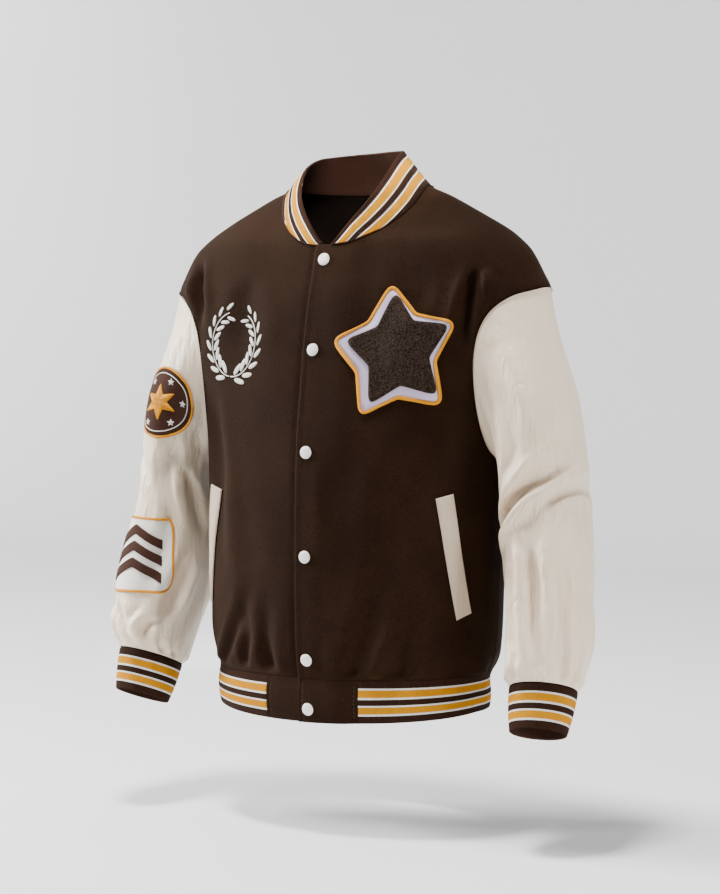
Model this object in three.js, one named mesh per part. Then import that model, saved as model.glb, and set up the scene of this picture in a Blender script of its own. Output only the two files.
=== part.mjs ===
// A worn, hollow varsity jacket: wool body, leather sleeves, striped rib collar, cuffs and hem.
// Millimetres, +Z up, front towards -Y, the wearer's left towards +X.
// The origin is midway between the neck ends of the two shoulder seams.
import * as THREE from "three";

// Cloth and seams
const woolWall = 2.4;
const leatherWall = 1.8;
const ribWall = 3;
const seamGap = 0.3;
const armholeGap = 1.6 * seamGap;

// Main levels, all below the shoulder's neck point
const armpitLevel = -340;
const hemTopLevel = -612;
const hemHeight = 55;
const hemRiseAtBack = 5;
const hemRiseToLeft = 4.5;
const hemTrimAtSides = 9;
const hemTrimFrom = 0.42;

// Front opening, tabs and snaps
const overlapReach = 15;
const overlapFlat = 34;
const overlapEase = 70;
const overlapLift = woolWall + 1.5 * seamGap;
const placketFlat = 4;
const placketEase = 24;
const tabReach = 67;
const snapLevels = [-93, -205, -331, -460, -588, -650];
const snapRadius = 7.7;
const snapHeight = 3;

// How the lines of a panel's mesh run over the chest: how far they unwrap, and how far they bow outwards
const chestUnwrap = 0.45;
const chestBow = 26;

// Mesh density
const neckColumns = 7;
const shoulderColumns = 8;
const armholeRows = 14;
const backNeckColumns = 5;
const sleeveRings = 19;
const collarRows = 5;
const ribRows = 3;
const cuffSides = 28;
const hemSides = 48;
const tabSides = 8;
const tabRows = 2;
const patchRings = 4;
const lowerShares = [0, 0.03, 0.075, 0.14, 0.22, 0.33, 0.47, 0.64, 0.82];
const armholeCrowding = 1.35;
const ringCrowding = 0.035;

// Level sections of the body: half width, the side seam's place, and the depth before and behind
const bodySections = [
  { level: 6, wide: 92, seam: -5, front: 14, back: 62 },
  { level: 0, wide: 101, seam: -5, front: 20, back: 66 },
  { level: -11, wide: 127, seam: -5, front: 32, back: 71 },
  { level: -27, wide: 159, seam: -5, front: 42, back: 76 },
  { level: -53, wide: 208, seam: -5, front: 65, back: 84 },
  { level: -67, wide: 227, seam: -5, front: 78, back: 88 },
  { level: -82, wide: 242, seam: -5, front: 84, back: 92 },
  { level: -113, wide: 260, seam: -5, front: 92, back: 99 },
  { level: -128, wide: 267, seam: -5, front: 97, back: 101 },
  { level: -160, wide: 265, seam: -5, front: 105, back: 106 },
  { level: -205, wide: 247, seam: -5, front: 114, back: 110 },
  { level: -260, wide: 226, seam: -6, front: 122, back: 112 },
  { level: -300, wide: 216, seam: -7, front: 128, back: 112 },
  { level: -340, wide: 211, seam: -9, front: 131, back: 111 },
  { level: -400, wide: 207, seam: -11, front: 133, back: 110 },
  { level: -470, wide: 205, seam: -13, front: 134, back: 109 },
  { level: -540, wide: 204, seam: -14, front: 133, back: 107 },
  { level: -580, wide: 202, seam: -17, front: 131, back: 102 },
  { level: -600, wide: 196, seam: -19, front: 128, back: 94 },
  { level: -612, wide: 190, seam: -20, front: 126, back: 86 },
  { level: -640, wide: 191, seam: -20, front: 127, back: 86 },
  { level: -680, wide: 187, seam: -20, front: 124, back: 83 },
];

// Neckline of a front, from the overlap's edge up to the shoulder seam
const frontNeckline = [
  { at: 0, across: -15, level: -74 },
  { at: 0.16, across: 9, level: -74 },
  { at: 0.3, across: 30, level: -72 },
  { at: 0.44, across: 48, level: -65.5 },
  { at: 0.61, across: 70, level: -52 },
  { at: 0.8, across: 90, level: -31 },
  { at: 0.93, across: 99, level: -11 },
  { at: 1, across: 101, level: 0 },
];
const backNeckline = [
  { at: 0, across: 0, level: -4 },
  { at: 0.4, across: 42, level: -3.5 },
  { at: 0.75, across: 78, level: -2 },
  { at: 1, across: 101, level: 0 },
];
const shoulderSeam = [
  { at: 0, level: 0 },
  { at: 0.3, level: -27 },
  { at: 0.55, level: -53 },
  { at: 0.76, level: -82 },
  { at: 0.92, level: -113 },
  { at: 1, level: -128 },
];

// Armhole seams, from the armpit up to the shoulder's tip
const frontArmhole = [
  { at: 0, across: 211, level: -340 },
  { at: 0.1, across: 209, level: -337 },
  { at: 0.2, across: 204, level: -322 },
  { at: 0.3, across: 200, level: -298 },
  { at: 0.4, across: 197.5, level: -268 },
  { at: 0.5, across: 197, level: -238 },
  { at: 0.6, across: 199, level: -208 },
  { at: 0.7, across: 205, level: -181 },
  { at: 0.8, across: 217, level: -158 },
  { at: 0.9, across: 238, level: -140 },
  { at: 1, across: 267, level: -128 },
];
const backArmhole = [
  { at: 0, across: 211, level: -340 },
  { at: 0.1, across: 209, level: -337 },
  { at: 0.2, across: 205, level: -320 },
  { at: 0.35, across: 203, level: -282 },
  { at: 0.5, across: 204, level: -240 },
  { at: 0.65, across: 209, level: -196 },
  { at: 0.8, across: 224, level: -158 },
  { at: 0.9, across: 243, level: -140 },
  { at: 1, across: 267, level: -128 },
];

// Sleeve sections: the outer and inner ends, the middle's place, half the depth, and the forward tilt
const sleeveSections = [
  { at: 0, outX: 267, outZ: -128, inX: 211, inZ: -340, mid: -8, deep: 68, tilt: 0 },
  { at: 0.06, outX: 273, outZ: -155, inX: 215, inZ: -338, mid: -8, deep: 72, tilt: 0 },
  { at: 0.14, outX: 282, outZ: -195, inX: 219, inZ: -350, mid: -7, deep: 78, tilt: 0 },
  { at: 0.22, outX: 292, outZ: -238, inX: 220, inZ: -373, mid: -6, deep: 82, tilt: 0 },
  { at: 0.3, outX: 300, outZ: -280, inX: 219, inZ: -398, mid: -5, deep: 83, tilt: 1 },
  { at: 0.4, outX: 309, outZ: -330, inX: 219, inZ: -430, mid: -4, deep: 82, tilt: 3 },
  { at: 0.5, outX: 316, outZ: -380, inX: 221, inZ: -465, mid: -6, deep: 79, tilt: 7 },
  { at: 0.6, outX: 323, outZ: -428, inX: 226, inZ: -500, mid: -14, deep: 76, tilt: 11 },
  { at: 0.7, outX: 330, outZ: -475, inX: 233, inZ: -535, mid: -25, deep: 73, tilt: 14 },
  { at: 0.8, outX: 336, outZ: -523, inX: 238, inZ: -566, mid: -37, deep: 69, tilt: 16 },
  { at: 0.88, outX: 338, outZ: -560, inX: 241, inZ: -588, mid: -46, deep: 64, tilt: 18 },
  { at: 0.94, outX: 335, outZ: -587, inX: 243, inZ: -602, mid: -54, deep: 58, tilt: 20 },
  { at: 0.98, outX: 332, outZ: -602, inX: 245, inZ: -611, mid: -56, deep: 49, tilt: 21 },
  { at: 1, outX: 330, outZ: -609, inX: 246, inZ: -617, mid: -57, deep: 43, tilt: 21 },
];
const cuffEnd = { x: 290, y: -76, z: -664, wide: 35, deep: 36 };

// Collar's upper edge, a row for each stretch of the neckline from a front end round to the back
const collarRim = [
  { at: 0, x: 9, y: -84, z: -70 },
  { at: 0.09, x: 18, y: -80, z: -58 },
  { at: 0.18, x: 29, y: -75.5, z: -44 },
  { at: 0.27, x: 41, y: -68.5, z: -29 },
  { at: 0.36, x: 52, y: -59, z: -12 },
  { at: 0.45, x: 60, y: -45, z: 8 },
  { at: 0.545, x: 64, y: -22, z: 32 },
  { at: 0.636, x: 61, y: 2, z: 42.5 },
  { at: 0.727, x: 52, y: 18, z: 45.5 },
  { at: 0.818, x: 38, y: 29, z: 47 },
  { at: 0.909, x: 20, y: 36, z: 48 },
  { at: 1, x: 0, y: 38, z: 48 },
];
const collarRiseToLeft = 0.045;
const collarHeight = 50;
const collarBulge = 2.5;
const collarMiddle = 5;
const collarGap = 2 * seamGap;
// Near the front the neckline turns sharply, and the gap under the collar widens there
const collarTurn = { station: 5.5, spread: 1.5, extra: 4 * seamGap };

// Folds of the body: each end by distance across and level, negative depths are troughs
const bodyFolds = [
  { panel: "left_front", x1: 196, z1: -110, x2: 192, z2: -170, wide: 13, deep: -9 },
  { panel: "left_front", x1: 205, z1: -108, x2: 208, z2: -135, wide: 11, deep: 4 },
  { panel: "right_front", x1: 214, z1: -92, x2: 205, z2: -150, wide: 12, deep: -6 },
  { panel: "left_front", x1: 176, z1: -330, x2: 120, z2: -420, wide: 22, deep: -3 },
  { panel: "right_front", x1: 160, z1: -300, x2: 110, z2: -430, wide: 24, deep: -3 },
  { panel: "left_front", x1: 60, z1: -600, x2: 90, z2: -480, wide: 16, deep: -3 },
  { panel: "right_front", x1: 60, z1: -600, x2: 76, z2: -520, wide: 14, deep: -3 },
  { panel: "back", x1: 150, z1: -190, x2: 120, z2: -330, wide: 26, deep: -4 },
  { panel: "back", x1: -150, z1: -190, x2: -120, z2: -330, wide: 26, deep: -4 },
  { panel: "back", x1: 60, z1: -560, x2: 100, z2: -430, wide: 24, deep: -4 },
  { panel: "back", x1: -70, z1: -570, x2: -90, z2: -450, wide: 22, deep: -4 },
];

// Folds of a sleeve: each end by its turn from the outer edge towards the front, and its place along
const leftSleeveFolds = [
  { turn1: 70, at1: 0.06, turn2: 118, at2: 0.3, wide: 15, deep: 5 },
  { turn1: 100, at1: 0.03, turn2: 150, at2: 0.22, wide: 12, deep: -6 },
  { turn1: 150, at1: 0.5, turn2: 70, at2: 0.56, wide: 13, deep: -7 },
  { turn1: 70, at1: 0.56, turn2: 20, at2: 0.47, wide: 12, deep: -6 },
  { turn1: 128, at1: 0.6, turn2: 60, at2: 0.63, wide: 13, deep: 4 },
  { turn1: 75, at1: 0.7, turn2: 62, at2: 0.92, wide: 12, deep: 4 },
  { turn1: 40, at1: 0.8, turn2: 80, at2: 0.96, wide: 10, deep: -4 },
  { turn1: 120, at1: 0.82, turn2: 90, at2: 0.97, wide: 10, deep: -4 },
  { turn1: 230, at1: 0.48, turn2: 300, at2: 0.56, wide: 14, deep: -6 },
  { turn1: 250, at1: 0.7, turn2: 280, at2: 0.9, wide: 14, deep: -5 },
];
const rightSleeveFolds = [
  { turn1: 100, at1: 0.05, turn2: 142, at2: 0.26, wide: 13, deep: 5 },
  { turn1: 116, at1: 0.03, turn2: 160, at2: 0.2, wide: 11, deep: -6 },
  { turn1: 118, at1: 0.28, turn2: 146, at2: 0.46, wide: 13, deep: -6 },
  { turn1: 20, at1: 0.4, turn2: 96, at2: 0.43, wide: 12, deep: -4 },
  { turn1: 148, at1: 0.6, turn2: 160, at2: 0.74, wide: 11, deep: 3 },
  { turn1: 50, at1: 0.87, turn2: 90, at2: 0.95, wide: 10, deep: -5 },
  { turn1: 132, at1: 0.86, turn2: 110, at2: 0.97, wide: 10, deep: -4 },
  { turn1: 235, at1: 0.46, turn2: 300, at2: 0.58, wide: 14, deep: -6 },
  { turn1: 250, at1: 0.68, turn2: 285, at2: 0.9, wide: 14, deep: -5 },
];
const hemGathers = { count: 15, deep: 2.2, reach: 70, full: 20, behind: 20, shift: 0.6 };
const cuffGathers = { count: 11, deep: 2.6, reach: 0.16 };
const millimetresPerTurnDegree = 1.15;
const sleeveLength = 470;

// Pocket welts: corners by distance across and level
const welt = { topIn: [158, -385], topOut: [174.5, -379], endIn: [177.5, -534], endOut: [190, -526] };
const weltHeight = 2.2;
const weltRows = 10;
const weltColumns = 3;

// Applique
const chestStar = { x: 112, z: -206, radius: 73, inner: 0.56, points: 5, lean: 8, unwrap: 0.93 };
const chestFelt = { margin: 11, shift: -5, drop: 2, height: 1.4 };
const chestPileHeight = 4.2;
const chestCord = { width: 4, height: 3 };
const badge = { turn: 78, at: 0.2, radius: 47, height: 1.6 };
const starBlunt = 0.94;
const badgeStar = { radius: 26, inner: 0.45, points: 6, height: 1.2 };
const lowerPatch = { turn: 80, at: 0.68, halfWidth: 53, halfHeight: 50, height: 1.6, square: 8 };
const lowerBars = { rise: 22, thick: 17, halfWidth: 40, height: 2 };

// Pieces that lie on a faceted panel stand this far off its smooth form
const clearance = 0.9;
const layerGap = 0.7;

// Smooth curve through one column of a table, read at a place in its key column
function along(rows, key, column, place) {
  const rising = rows[rows.length - 1][key] > rows[0][key] ? 1 : -1;
  let i = 0;
  while (i < rows.length - 2 && (rows[i + 1][key] - place) * rising < 0) i += 1;
  const slope = (j) => {
    const a = rows[Math.max(j - 1, 0)];
    const b = rows[Math.min(j + 1, rows.length - 1)];
    return (b[column] - a[column]) / (b[key] - a[key]);
  };
  const span = rows[i + 1][key] - rows[i][key];
  const t = Math.min(Math.max((place - rows[i][key]) / span, 0), 1);
  const t2 = t * t;
  const t3 = t2 * t;
  return (
    (2 * t3 - 3 * t2 + 1) * rows[i][column] +
    (t3 - 2 * t2 + t) * span * slope(i) +
    (3 * t2 - 2 * t3) * rows[i + 1][column] +
    (t3 - t2) * span * slope(i + 1)
  );
}

function mix(a, b, t) {
  return a + (b - a) * t;
}

function ease(from, to, value) {
  const t = Math.min(Math.max((value - from) / (to - from), 0), 1);
  return t * t * (3 - 2 * t);
}

// Distance from a point to a straight fold line
function distanceToLine(point, start, end) {
  const run = end.clone().sub(start);
  const t = point.clone().sub(start).dot(run) / run.lengthSq();
  return point.distanceTo(start.clone().addScaledVector(run, Math.min(Math.max(t, 0), 1)));
}

// Body surface
function bodySection(level) {
  const read = (column) => along(bodySections, "level", column, level);
  return { wide: read("wide"), seam: read("seam"), front: read("front"), back: read("back") };
}

function depthOf(section, isBack) {
  return isBack ? section.back - section.seam : section.front + section.seam;
}

function bodyPoint(across, level, isBack) {
  const section = bodySection(level);
  const share = Math.min(Math.abs(across / section.wide), 1);
  const reach = depthOf(section, isBack) * Math.sqrt(1 - share * share);
  return new THREE.Vector3(across, section.seam + (isBack ? reach : -reach), level);
}

function bodyNormal(point, isBack) {
  const step = 0.5;
  const value = (x, y, z) => {
    const section = bodySection(z);
    return (x / section.wide) ** 2 + ((y - section.seam) / depthOf(section, isBack)) ** 2;
  };
  const { x, y, z } = point;
  return new THREE.Vector3(
    value(x + step, y, z) - value(x - step, y, z),
    value(x, y + step, z) - value(x, y - step, z),
    value(x, y, z + step) - value(x, y, z - step),
  ).normalize();
}

// Folds and gathers move a point of the body along its normal
function bodyRelief(point, panel) {
  let relief = 0;
  const isBack = panel === "back";
  for (const fold of bodyFolds) {
    if (fold.panel !== panel) continue;
    const side = panel === "right_front" ? -1 : 1;
    const start = bodyPoint(side * fold.x1, fold.z1, isBack);
    const end = bodyPoint(side * fold.x2, fold.z2, isBack);
    const distance = distanceToLine(point, start, end);
    relief += fold.deep * Math.exp(-((distance / fold.wide) ** 2));
  }
  const above = point.z - hemTopLevel;
  const turn = Math.atan2(point.x, -point.y - hemGathers.behind);
  const wave = Math.cos(hemGathers.count * turn + hemGathers.shift);
  const swell = ease(0, 14, above) * (1 - ease(hemGathers.full, hemGathers.reach, above));
  return relief * ease(0, 12, above) + hemGathers.deep * wave * swell;
}

// Folds die out towards the seams, so that neighbouring panels meet
function seamFade(columnShare, row, lastRow) {
  const side = row > lastRow - armholeRows ? 1 : 1 - ease(0.93, 1, columnShare);
  return side * (1 - ease(0.93, 1, row / lastRow));
}

function frontLift(across, isLeft) {
  return isLeft ? overlapLift * (1 - ease(overlapFlat, overlapEase, across)) : 0;
}

// Level of the hem band at a side share, from -1 at the wearer's right to 1 at the left, and a height share
function hemLevel(sideShare, isBack, share) {
  const section = bodySection(hemTopLevel);
  const reach = depthOf(section, isBack) * Math.sqrt(Math.max(1 - sideShare * sideShare, 0));
  const y = section.seam + (isBack ? reach : -reach);
  const backShare = (y + section.front) / (section.front + section.back);
  const top = hemTopLevel + hemRiseAtBack * backShare + hemRiseToLeft * sideShare;
  const height = hemHeight - hemTrimAtSides * Math.min(backShare / hemTrimFrom, 1);
  return top - height * share;
}

// A closed wall between an outer and an inner grid of points
function wallGeometry(outer, inner, closed) {
  const rows = outer.length;
  const columns = outer[0].length;
  const positions = [];
  for (const grid of [outer, inner]) {
    for (const row of grid) for (const p of row) positions.push(p.x, p.y, p.z);
  }
  const indices = [];
  const outerAt = (r, c) => r * columns + (c % columns);
  const innerAt = (r, c) => rows * columns + outerAt(r, c);
  const quad = (a, b, c, d) => indices.push(a, b, c, a, c, d);
  const spans = closed ? columns : columns - 1;
  for (let r = 0; r < rows - 1; r += 1) {
    for (let c = 0; c < spans; c += 1) {
      quad(outerAt(r, c), outerAt(r, c + 1), outerAt(r + 1, c + 1), outerAt(r + 1, c));
      quad(innerAt(r, c), innerAt(r + 1, c), innerAt(r + 1, c + 1), innerAt(r, c + 1));
    }
  }
  for (let c = 0; c < spans; c += 1) {
    quad(outerAt(0, c), innerAt(0, c), innerAt(0, c + 1), outerAt(0, c + 1));
    quad(outerAt(rows - 1, c), outerAt(rows - 1, c + 1), innerAt(rows - 1, c + 1), innerAt(rows - 1, c));
  }
  if (!closed) {
    for (let r = 0; r < rows - 1; r += 1) {
      quad(outerAt(r, 0), outerAt(r + 1, 0), innerAt(r + 1, 0), innerAt(r, 0));
      const e = columns - 1;
      quad(outerAt(r, e), innerAt(r, e), innerAt(r + 1, e), outerAt(r + 1, e));
    }
  }
  return facingOut(positions, indices);
}

function facingOut(positions, indices) {
  const at = (i) => new THREE.Vector3().fromArray(positions, 3 * i);
  let volume = 0;
  for (let i = 0; i < indices.length; i += 3) {
    volume += at(indices[i]).dot(at(indices[i + 1]).cross(at(indices[i + 2])));
  }
  if (volume < 0) indices.reverse();
  const geometry = new THREE.BufferGeometry();
  geometry.setAttribute("position", new THREE.Float32BufferAttribute(positions, 3));
  geometry.setIndex(indices);
  geometry.computeVertexNormals();
  return geometry;
}

// Normals of a grid of points, worked out from its neighbours
function gridNormals(grid, closed, flip) {
  const rows = grid.length;
  const columns = grid[0].length;
  return grid.map((row, r) =>
    row.map((point, c) => {
      const before = closed ? (c + columns - 1) % columns : Math.max(c - 1, 0);
      const after = closed ? (c + 1) % columns : Math.min(c + 1, columns - 1);
      const acrossRun = row[after].clone().sub(row[before]);
      const downRun = grid[Math.min(r + 1, rows - 1)][c].clone().sub(grid[Math.max(r - 1, 0)][c]);
      return acrossRun.cross(downRun).normalize().multiplyScalar(flip ? -1 : 1);
    }),
  );
}

function offsetGrid(grid, normals, distance) {
  return grid.map((row, r) => row.map((p, c) => p.clone().addScaledVector(normals[r][c], distance)));
}

// Rows of a panel: levels below the armpit, then shares of the armhole
function panelRows() {
  const rows = lowerShares.map((share) => ({ share, climb: 0 }));
  for (let j = 0; j <= armholeRows; j += 1) {
    rows.push({ share: 1, climb: 1 - (1 - j / armholeRows) ** armholeCrowding });
  }
  return rows;
}

function sideEdge(row, isBack) {
  const table = isBack ? backArmhole : frontArmhole;
  return {
    across: along(table, "at", "across", row.climb),
    level: along(table, "at", "level", row.climb),
  };
}

// The upper edge of a panel: neckline, then shoulder seam
function topEdge(column, isBack) {
  const neckCount = isBack ? backNeckColumns : neckColumns;
  if (column <= neckCount) {
    const table = isBack ? backNeckline : frontNeckline;
    return {
      across: along(table, "at", "across", column / neckCount),
      level: along(table, "at", "level", column / neckCount),
    };
  }
  const level = along(shoulderSeam, "at", "level", (column - neckCount) / shoulderColumns);
  return { across: bodySection(level).wide, level };
}

// Half a panel, from its middle or overlap edge out to the side: points across and level
function panelPlan(isBack) {
  const columns = (isBack ? backNeckColumns : neckColumns) + shoulderColumns;
  const start = isBack ? 0 : -overlapReach;
  const rows = panelRows();
  const topMiddle = topEdge(0, isBack).level;
  const tip = topEdge(columns, isBack);
  const plan = rows.map((row) => {
    const line = [];
    const upper = row.climb ** 1.5;
    for (let c = 0; c <= columns; c += 1) {
      const u = c / columns;
      if (row.climb === 0) {
        line.push({ turn: u, start, share: row.share });
        continue;
      }
      const side = sideEdge(row, isBack);
      const wrap = (Math.PI / 2) * (1 - chestUnwrap * ease(0, 0.45, row.climb));
      const tipWrap = (Math.PI / 2) * (1 - chestUnwrap);
      const spread = (angle) => Math.sin(u * angle) / Math.sin(angle);
      const lean = u ** 1.5;
      const top = topEdge(c, isBack);
      const middleLevel = mix(armpitLevel, topMiddle, 1 - (1 - row.climb) ** 1.15);
      const bow = chestBow * 4 * u * (1 - u) * Math.sin(Math.PI * row.climb ** 1.6);
      const plainAcross = start + (side.across - start) * spread(wrap) + bow;
      const tipAcross = start + (tip.across - start) * spread(tipWrap);
      const plainLevel = mix(middleLevel, side.level, lean);
      const tipLevel = mix(topMiddle, tip.level, lean);
      line.push({
        across: plainAcross + upper * (top.across - tipAcross),
        level: plainLevel + upper * (top.level - tipLevel),
      });
    }
    return line;
  });
  return plan;
}

// Outer surface of half a panel, with its folds and the overlap's lift
function halfPanel(panel) {
  const isBack = panel === "back";
  const side = panel === "right_front" ? -1 : 1;
  const plan = panelPlan(isBack);
  const outer = [];
  const normals = [];
  plan.forEach((line, r) => {
    const outerRow = [];
    const normalRow = [];
    line.forEach((spot, c) => {
      let point;
      if (spot.turn !== undefined) {
        const bend = Math.sin((spot.turn * Math.PI) / 2);
        const hemWide = bodySection(hemTopLevel).wide;
        const hemShare = (spot.start + (hemWide - spot.start) * bend) / hemWide;
        const level = mix(hemLevel(side * hemShare, isBack, 0), armpitLevel, spot.share);
        const wide = bodySection(level).wide;
        point = bodyPoint(spot.start + (wide - spot.start) * bend, level, isBack);
      } else {
        point = bodyPoint(spot.across, spot.level, isBack);
      }
      point.x *= side;
      const normal = bodyNormal(point, isBack);
      const fade = seamFade(c / (line.length - 1), r, plan.length - 1);
      const lift = isBack ? 0 : frontLift(side * point.x, panel === "left_front");
      const clear = isBack ? 1 : ease(placketFlat, placketEase, side * point.x);
      const relief = bodyRelief(point, panel) * clear;
      outerRow.push(point.addScaledVector(normal, relief * fade + lift));
      normalRow.push(normal);
    });
    outer.push(outerRow);
    normals.push(normalRow);
  });
  return { outer, normals };
}

// Sleeve surface
function armholePoint(turn, side) {
  const isBack = turn > 180;
  const climb = isBack ? (turn - 180) / 180 : 1 - turn / 180;
  const table = isBack ? backArmhole : frontArmhole;
  const across = along(table, "at", "across", climb);
  return bodyPoint(side * across, along(table, "at", "level", climb), isBack);
}

function sleeveRelief(turn, place, folds) {
  if (!folds.length) return 0;
  let relief = 0;
  const spot = new THREE.Vector3(turn * millimetresPerTurnDegree, place * sleeveLength, 0);
  for (const fold of folds) {
    const start = new THREE.Vector3(fold.turn1 * millimetresPerTurnDegree, fold.at1 * sleeveLength, 0);
    const end = new THREE.Vector3(fold.turn2 * millimetresPerTurnDegree, fold.at2 * sleeveLength, 0);
    relief += fold.deep * Math.exp(-((distanceToLine(spot, start, end) / fold.wide) ** 2));
  }
  const swell = ease(1 - cuffGathers.reach, 0.96, place) * (1 - ease(0.96, 1, place));
  const wave = Math.cos((cuffGathers.count * turn * Math.PI) / 180);
  return relief * ease(0, 0.05, place) * (1 - ease(0.94, 1, place)) + cuffGathers.deep * wave * swell;
}

function sleeveSectionPoint(turn, place, side, swell) {
  const read = (column) => along(sleeveSections, "at", column, place);
  const angle = (turn * Math.PI) / 180;
  const outer = new THREE.Vector3(side * read("outX"), read("mid"), read("outZ"));
  const inner = new THREE.Vector3(side * read("inX"), read("mid"), read("inZ"));
  const middle = outer.clone().add(inner).multiplyScalar(0.5);
  const arm = outer.sub(inner).multiplyScalar(0.5);
  const tilt = THREE.MathUtils.degToRad(read("tilt"));
  const forward = new THREE.Vector3(0, -Math.cos(tilt), Math.sin(tilt));
  arm.setLength(arm.length() + swell);
  middle.addScaledVector(arm, Math.cos(angle));
  return middle.addScaledVector(forward, (read("deep") + swell) * Math.sin(angle));
}

function sleevePoint(turn, place, side, folds) {
  const relief = sleeveRelief(turn, place, folds);
  const section = sleeveSectionPoint(turn, place, side, relief);
  const hold = 1 - ease(0, 0.26, place);
  return section.lerp(armholePoint(turn, side), hold);
}

function sleeveTurns() {
  const turns = [];
  const climbs = panelRows().filter((row) => row.share === 1).map((row) => row.climb);
  for (let i = armholeRows; i > 0; i -= 1) turns.push(180 * (1 - climbs[i]));
  for (let i = 0; i < armholeRows; i += 1) turns.push(180 + 180 * climbs[i]);
  return turns;
}

function sleevePlaces() {
  const places = [];
  for (let k = 0; k <= sleeveRings; k += 1) {
    const t = k / sleeveRings;
    places.push(t - ringCrowding * Math.sin(2 * Math.PI * t));
  }
  return places;
}

function sleeveGrid(side, folds) {
  const turns = sleeveTurns();
  return sleevePlaces().map((place) => turns.map((turn) => sleevePoint(turn, place, side, folds)));
}

// Draws one edge point away from a seam, square to the seam and along its own cloth
function drawIn(edge, next, shared, i, distance, closed) {
  const last = edge.length - 1;
  const before = closed ? edge[(i + last) % edge.length] : edge[Math.max(i - 1, 0)];
  const after = closed ? edge[(i + 1) % edge.length] : edge[Math.min(i + 1, last)];
  const away = after.clone().sub(before).cross(shared).normalize();
  if (away.dot(next[i].clone().sub(edge[i])) < 0) away.negate();
  return edge[i].clone().addScaledVector(away, distance);
}

// Both walls at an armhole lean to the mean of their normals, and stand a seam's gap apart
function fitArmhole(sleeve, sleeveNormals, frontHalf, backHalf) {
  const turns = sleeveTurns();
  const lastColumn = (half) => half.outer[0].length - 1;
  const firstRow = frontHalf.outer.length - 1 - armholeRows;
  turns.forEach((turn, i) => {
    const isBack = turn > 180;
    const half = isBack ? backHalf : frontHalf;
    const row = isBack ? firstRow + (i - armholeRows) : firstRow + armholeRows - i;
    const column = lastColumn(half);
    const shared = half.normals[row][column].clone().add(sleeveNormals[0][i]).normalize();
    half.normals[row][column] = shared;
    if (turn === 180) backHalf.normals[firstRow][lastColumn(backHalf)] = shared;
    if (i === 0) backHalf.normals[firstRow + armholeRows][lastColumn(backHalf)] = shared;
    sleeveNormals[0][i] = shared;
  });
  const edge = sleeve[0].map((p) => p.clone());
  sleeve[0] = edge.map((p, i) => drawIn(edge, sleeve[1], sleeveNormals[0][i], i, armholeGap, true));
}

// Collar surface, over the same stations as the neckline
function collarStations() {
  const stations = [];
  for (let c = 1; c <= neckColumns; c += 1) stations.push({ column: c, isBack: false });
  for (let c = backNeckColumns - 1; c >= 0; c -= 1) stations.push({ column: c, isBack: true });
  return stations;
}

function collarHalf(frontHalf, backHalf, side) {
  const stations = collarStations();
  const top = frontHalf.outer.length - 1;
  const bases = stations.map((s) => {
    const half = s.isBack ? backHalf : frontHalf;
    const base = half.outer[top][s.column].clone();
    base.x = side * Math.abs(base.x);
    return base;
  });
  return stations.map((station, i) => {
    const place = i / (stations.length - 1);
    const read = (column) => along(collarRim, "at", column, place);
    const rim = new THREE.Vector3(side * read("x"), read("y"), read("z"));
    rim.z += rim.x * collarRiseToLeft;
    return { base: bases[i], rim };
  });
}

function collarGeometry(halves) {
  const left = collarHalf(halves.left, halves.back, 1);
  const right = collarHalf(halves.right, halves.back, -1);
  const ribs = [...left, ...right.slice(0, -1).reverse()];
  const outer = [];
  for (let r = 0; r <= collarRows; r += 1) {
    const t = r / collarRows;
    outer.push(
      ribs.map(({ base, rim }) => {
        const run = rim.clone().sub(base);
        const point = base.clone().lerp(rim, t);
        const out = new THREE.Vector3(point.x, point.y - collarMiddle, 0).normalize();
        const swell = Math.sin(Math.PI * t) * collarBulge * Math.min(run.length() / collarHeight, 1);
        return point.addScaledVector(out, swell);
      }),
    );
  }
  const normals = gridNormals(outer, false, false);
  const middle = (ribs.length - 1) / 2;
  const shareNormal = (half, station, column) => {
    const top = half.outer.length - 1;
    const shared = half.normals[top][station.column].clone().add(normals[0][column]).normalize();
    half.normals[top][station.column] = shared;
    normals[0][column] = shared;
  };
  collarStations().forEach((station, i) => {
    shareNormal(station.isBack ? halves.back : halves.left, station, i);
    if (i < middle) shareNormal(station.isBack ? halves.backRight : halves.right, station, 2 * middle - i);
  });
  const edge = outer[0].map((p) => p.clone());
  outer[0] = edge.map((p, i) => {
    const off = Math.abs(Math.min(i, 2 * middle - i) - collarTurn.station);
    const gap = collarGap + collarTurn.extra * Math.max(1 - off / (2 * collarTurn.spread), 0);
    return drawIn(edge, outer[1], normals[0][i], i, gap, false);
  });
  return wallGeometry(outer, offsetGrid(outer, normals, -ribWall), false);
}

// Panels as closed walls
function panelGeometry(half) {
  return wallGeometry(half.outer, offsetGrid(half.outer, half.normals, -woolWall), false);
}

function joinedBack(rightHalf, leftHalf) {
  const join = (key) => leftHalf[key].map((row, r) => [...rightHalf[key][r].slice(1).reverse(), ...row]);
  return { outer: join("outer"), normals: join("normals") };
}

function mirrored(half) {
  const flip = (v) => new THREE.Vector3(-v.x, v.y, v.z);
  return {
    outer: half.outer.map((row) => row.map(flip)),
    normals: half.normals.map((row) => row.map(flip)),
  };
}

// Pieces keep a seam's gap by drawing their edge points in along the cloth
function trimEdges(half, innerSide) {
  const last = half.outer[0].length - 1;
  half.outer.forEach((row, r) => {
    const firstArmRow = half.outer.length - 1 - armholeRows;
    if (r <= firstArmRow) {
      row[last].y += innerSide * (seamGap / 2);
    }
  });
  const top = half.outer.length - 1;
  half.outer[top].forEach((point, c) => {
    if (half.shoulderFrom <= c) point.y += innerSide * (seamGap / 2);
  });
  half.outer[0].forEach((point) => {
    point.z += seamGap;
  });
}

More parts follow.
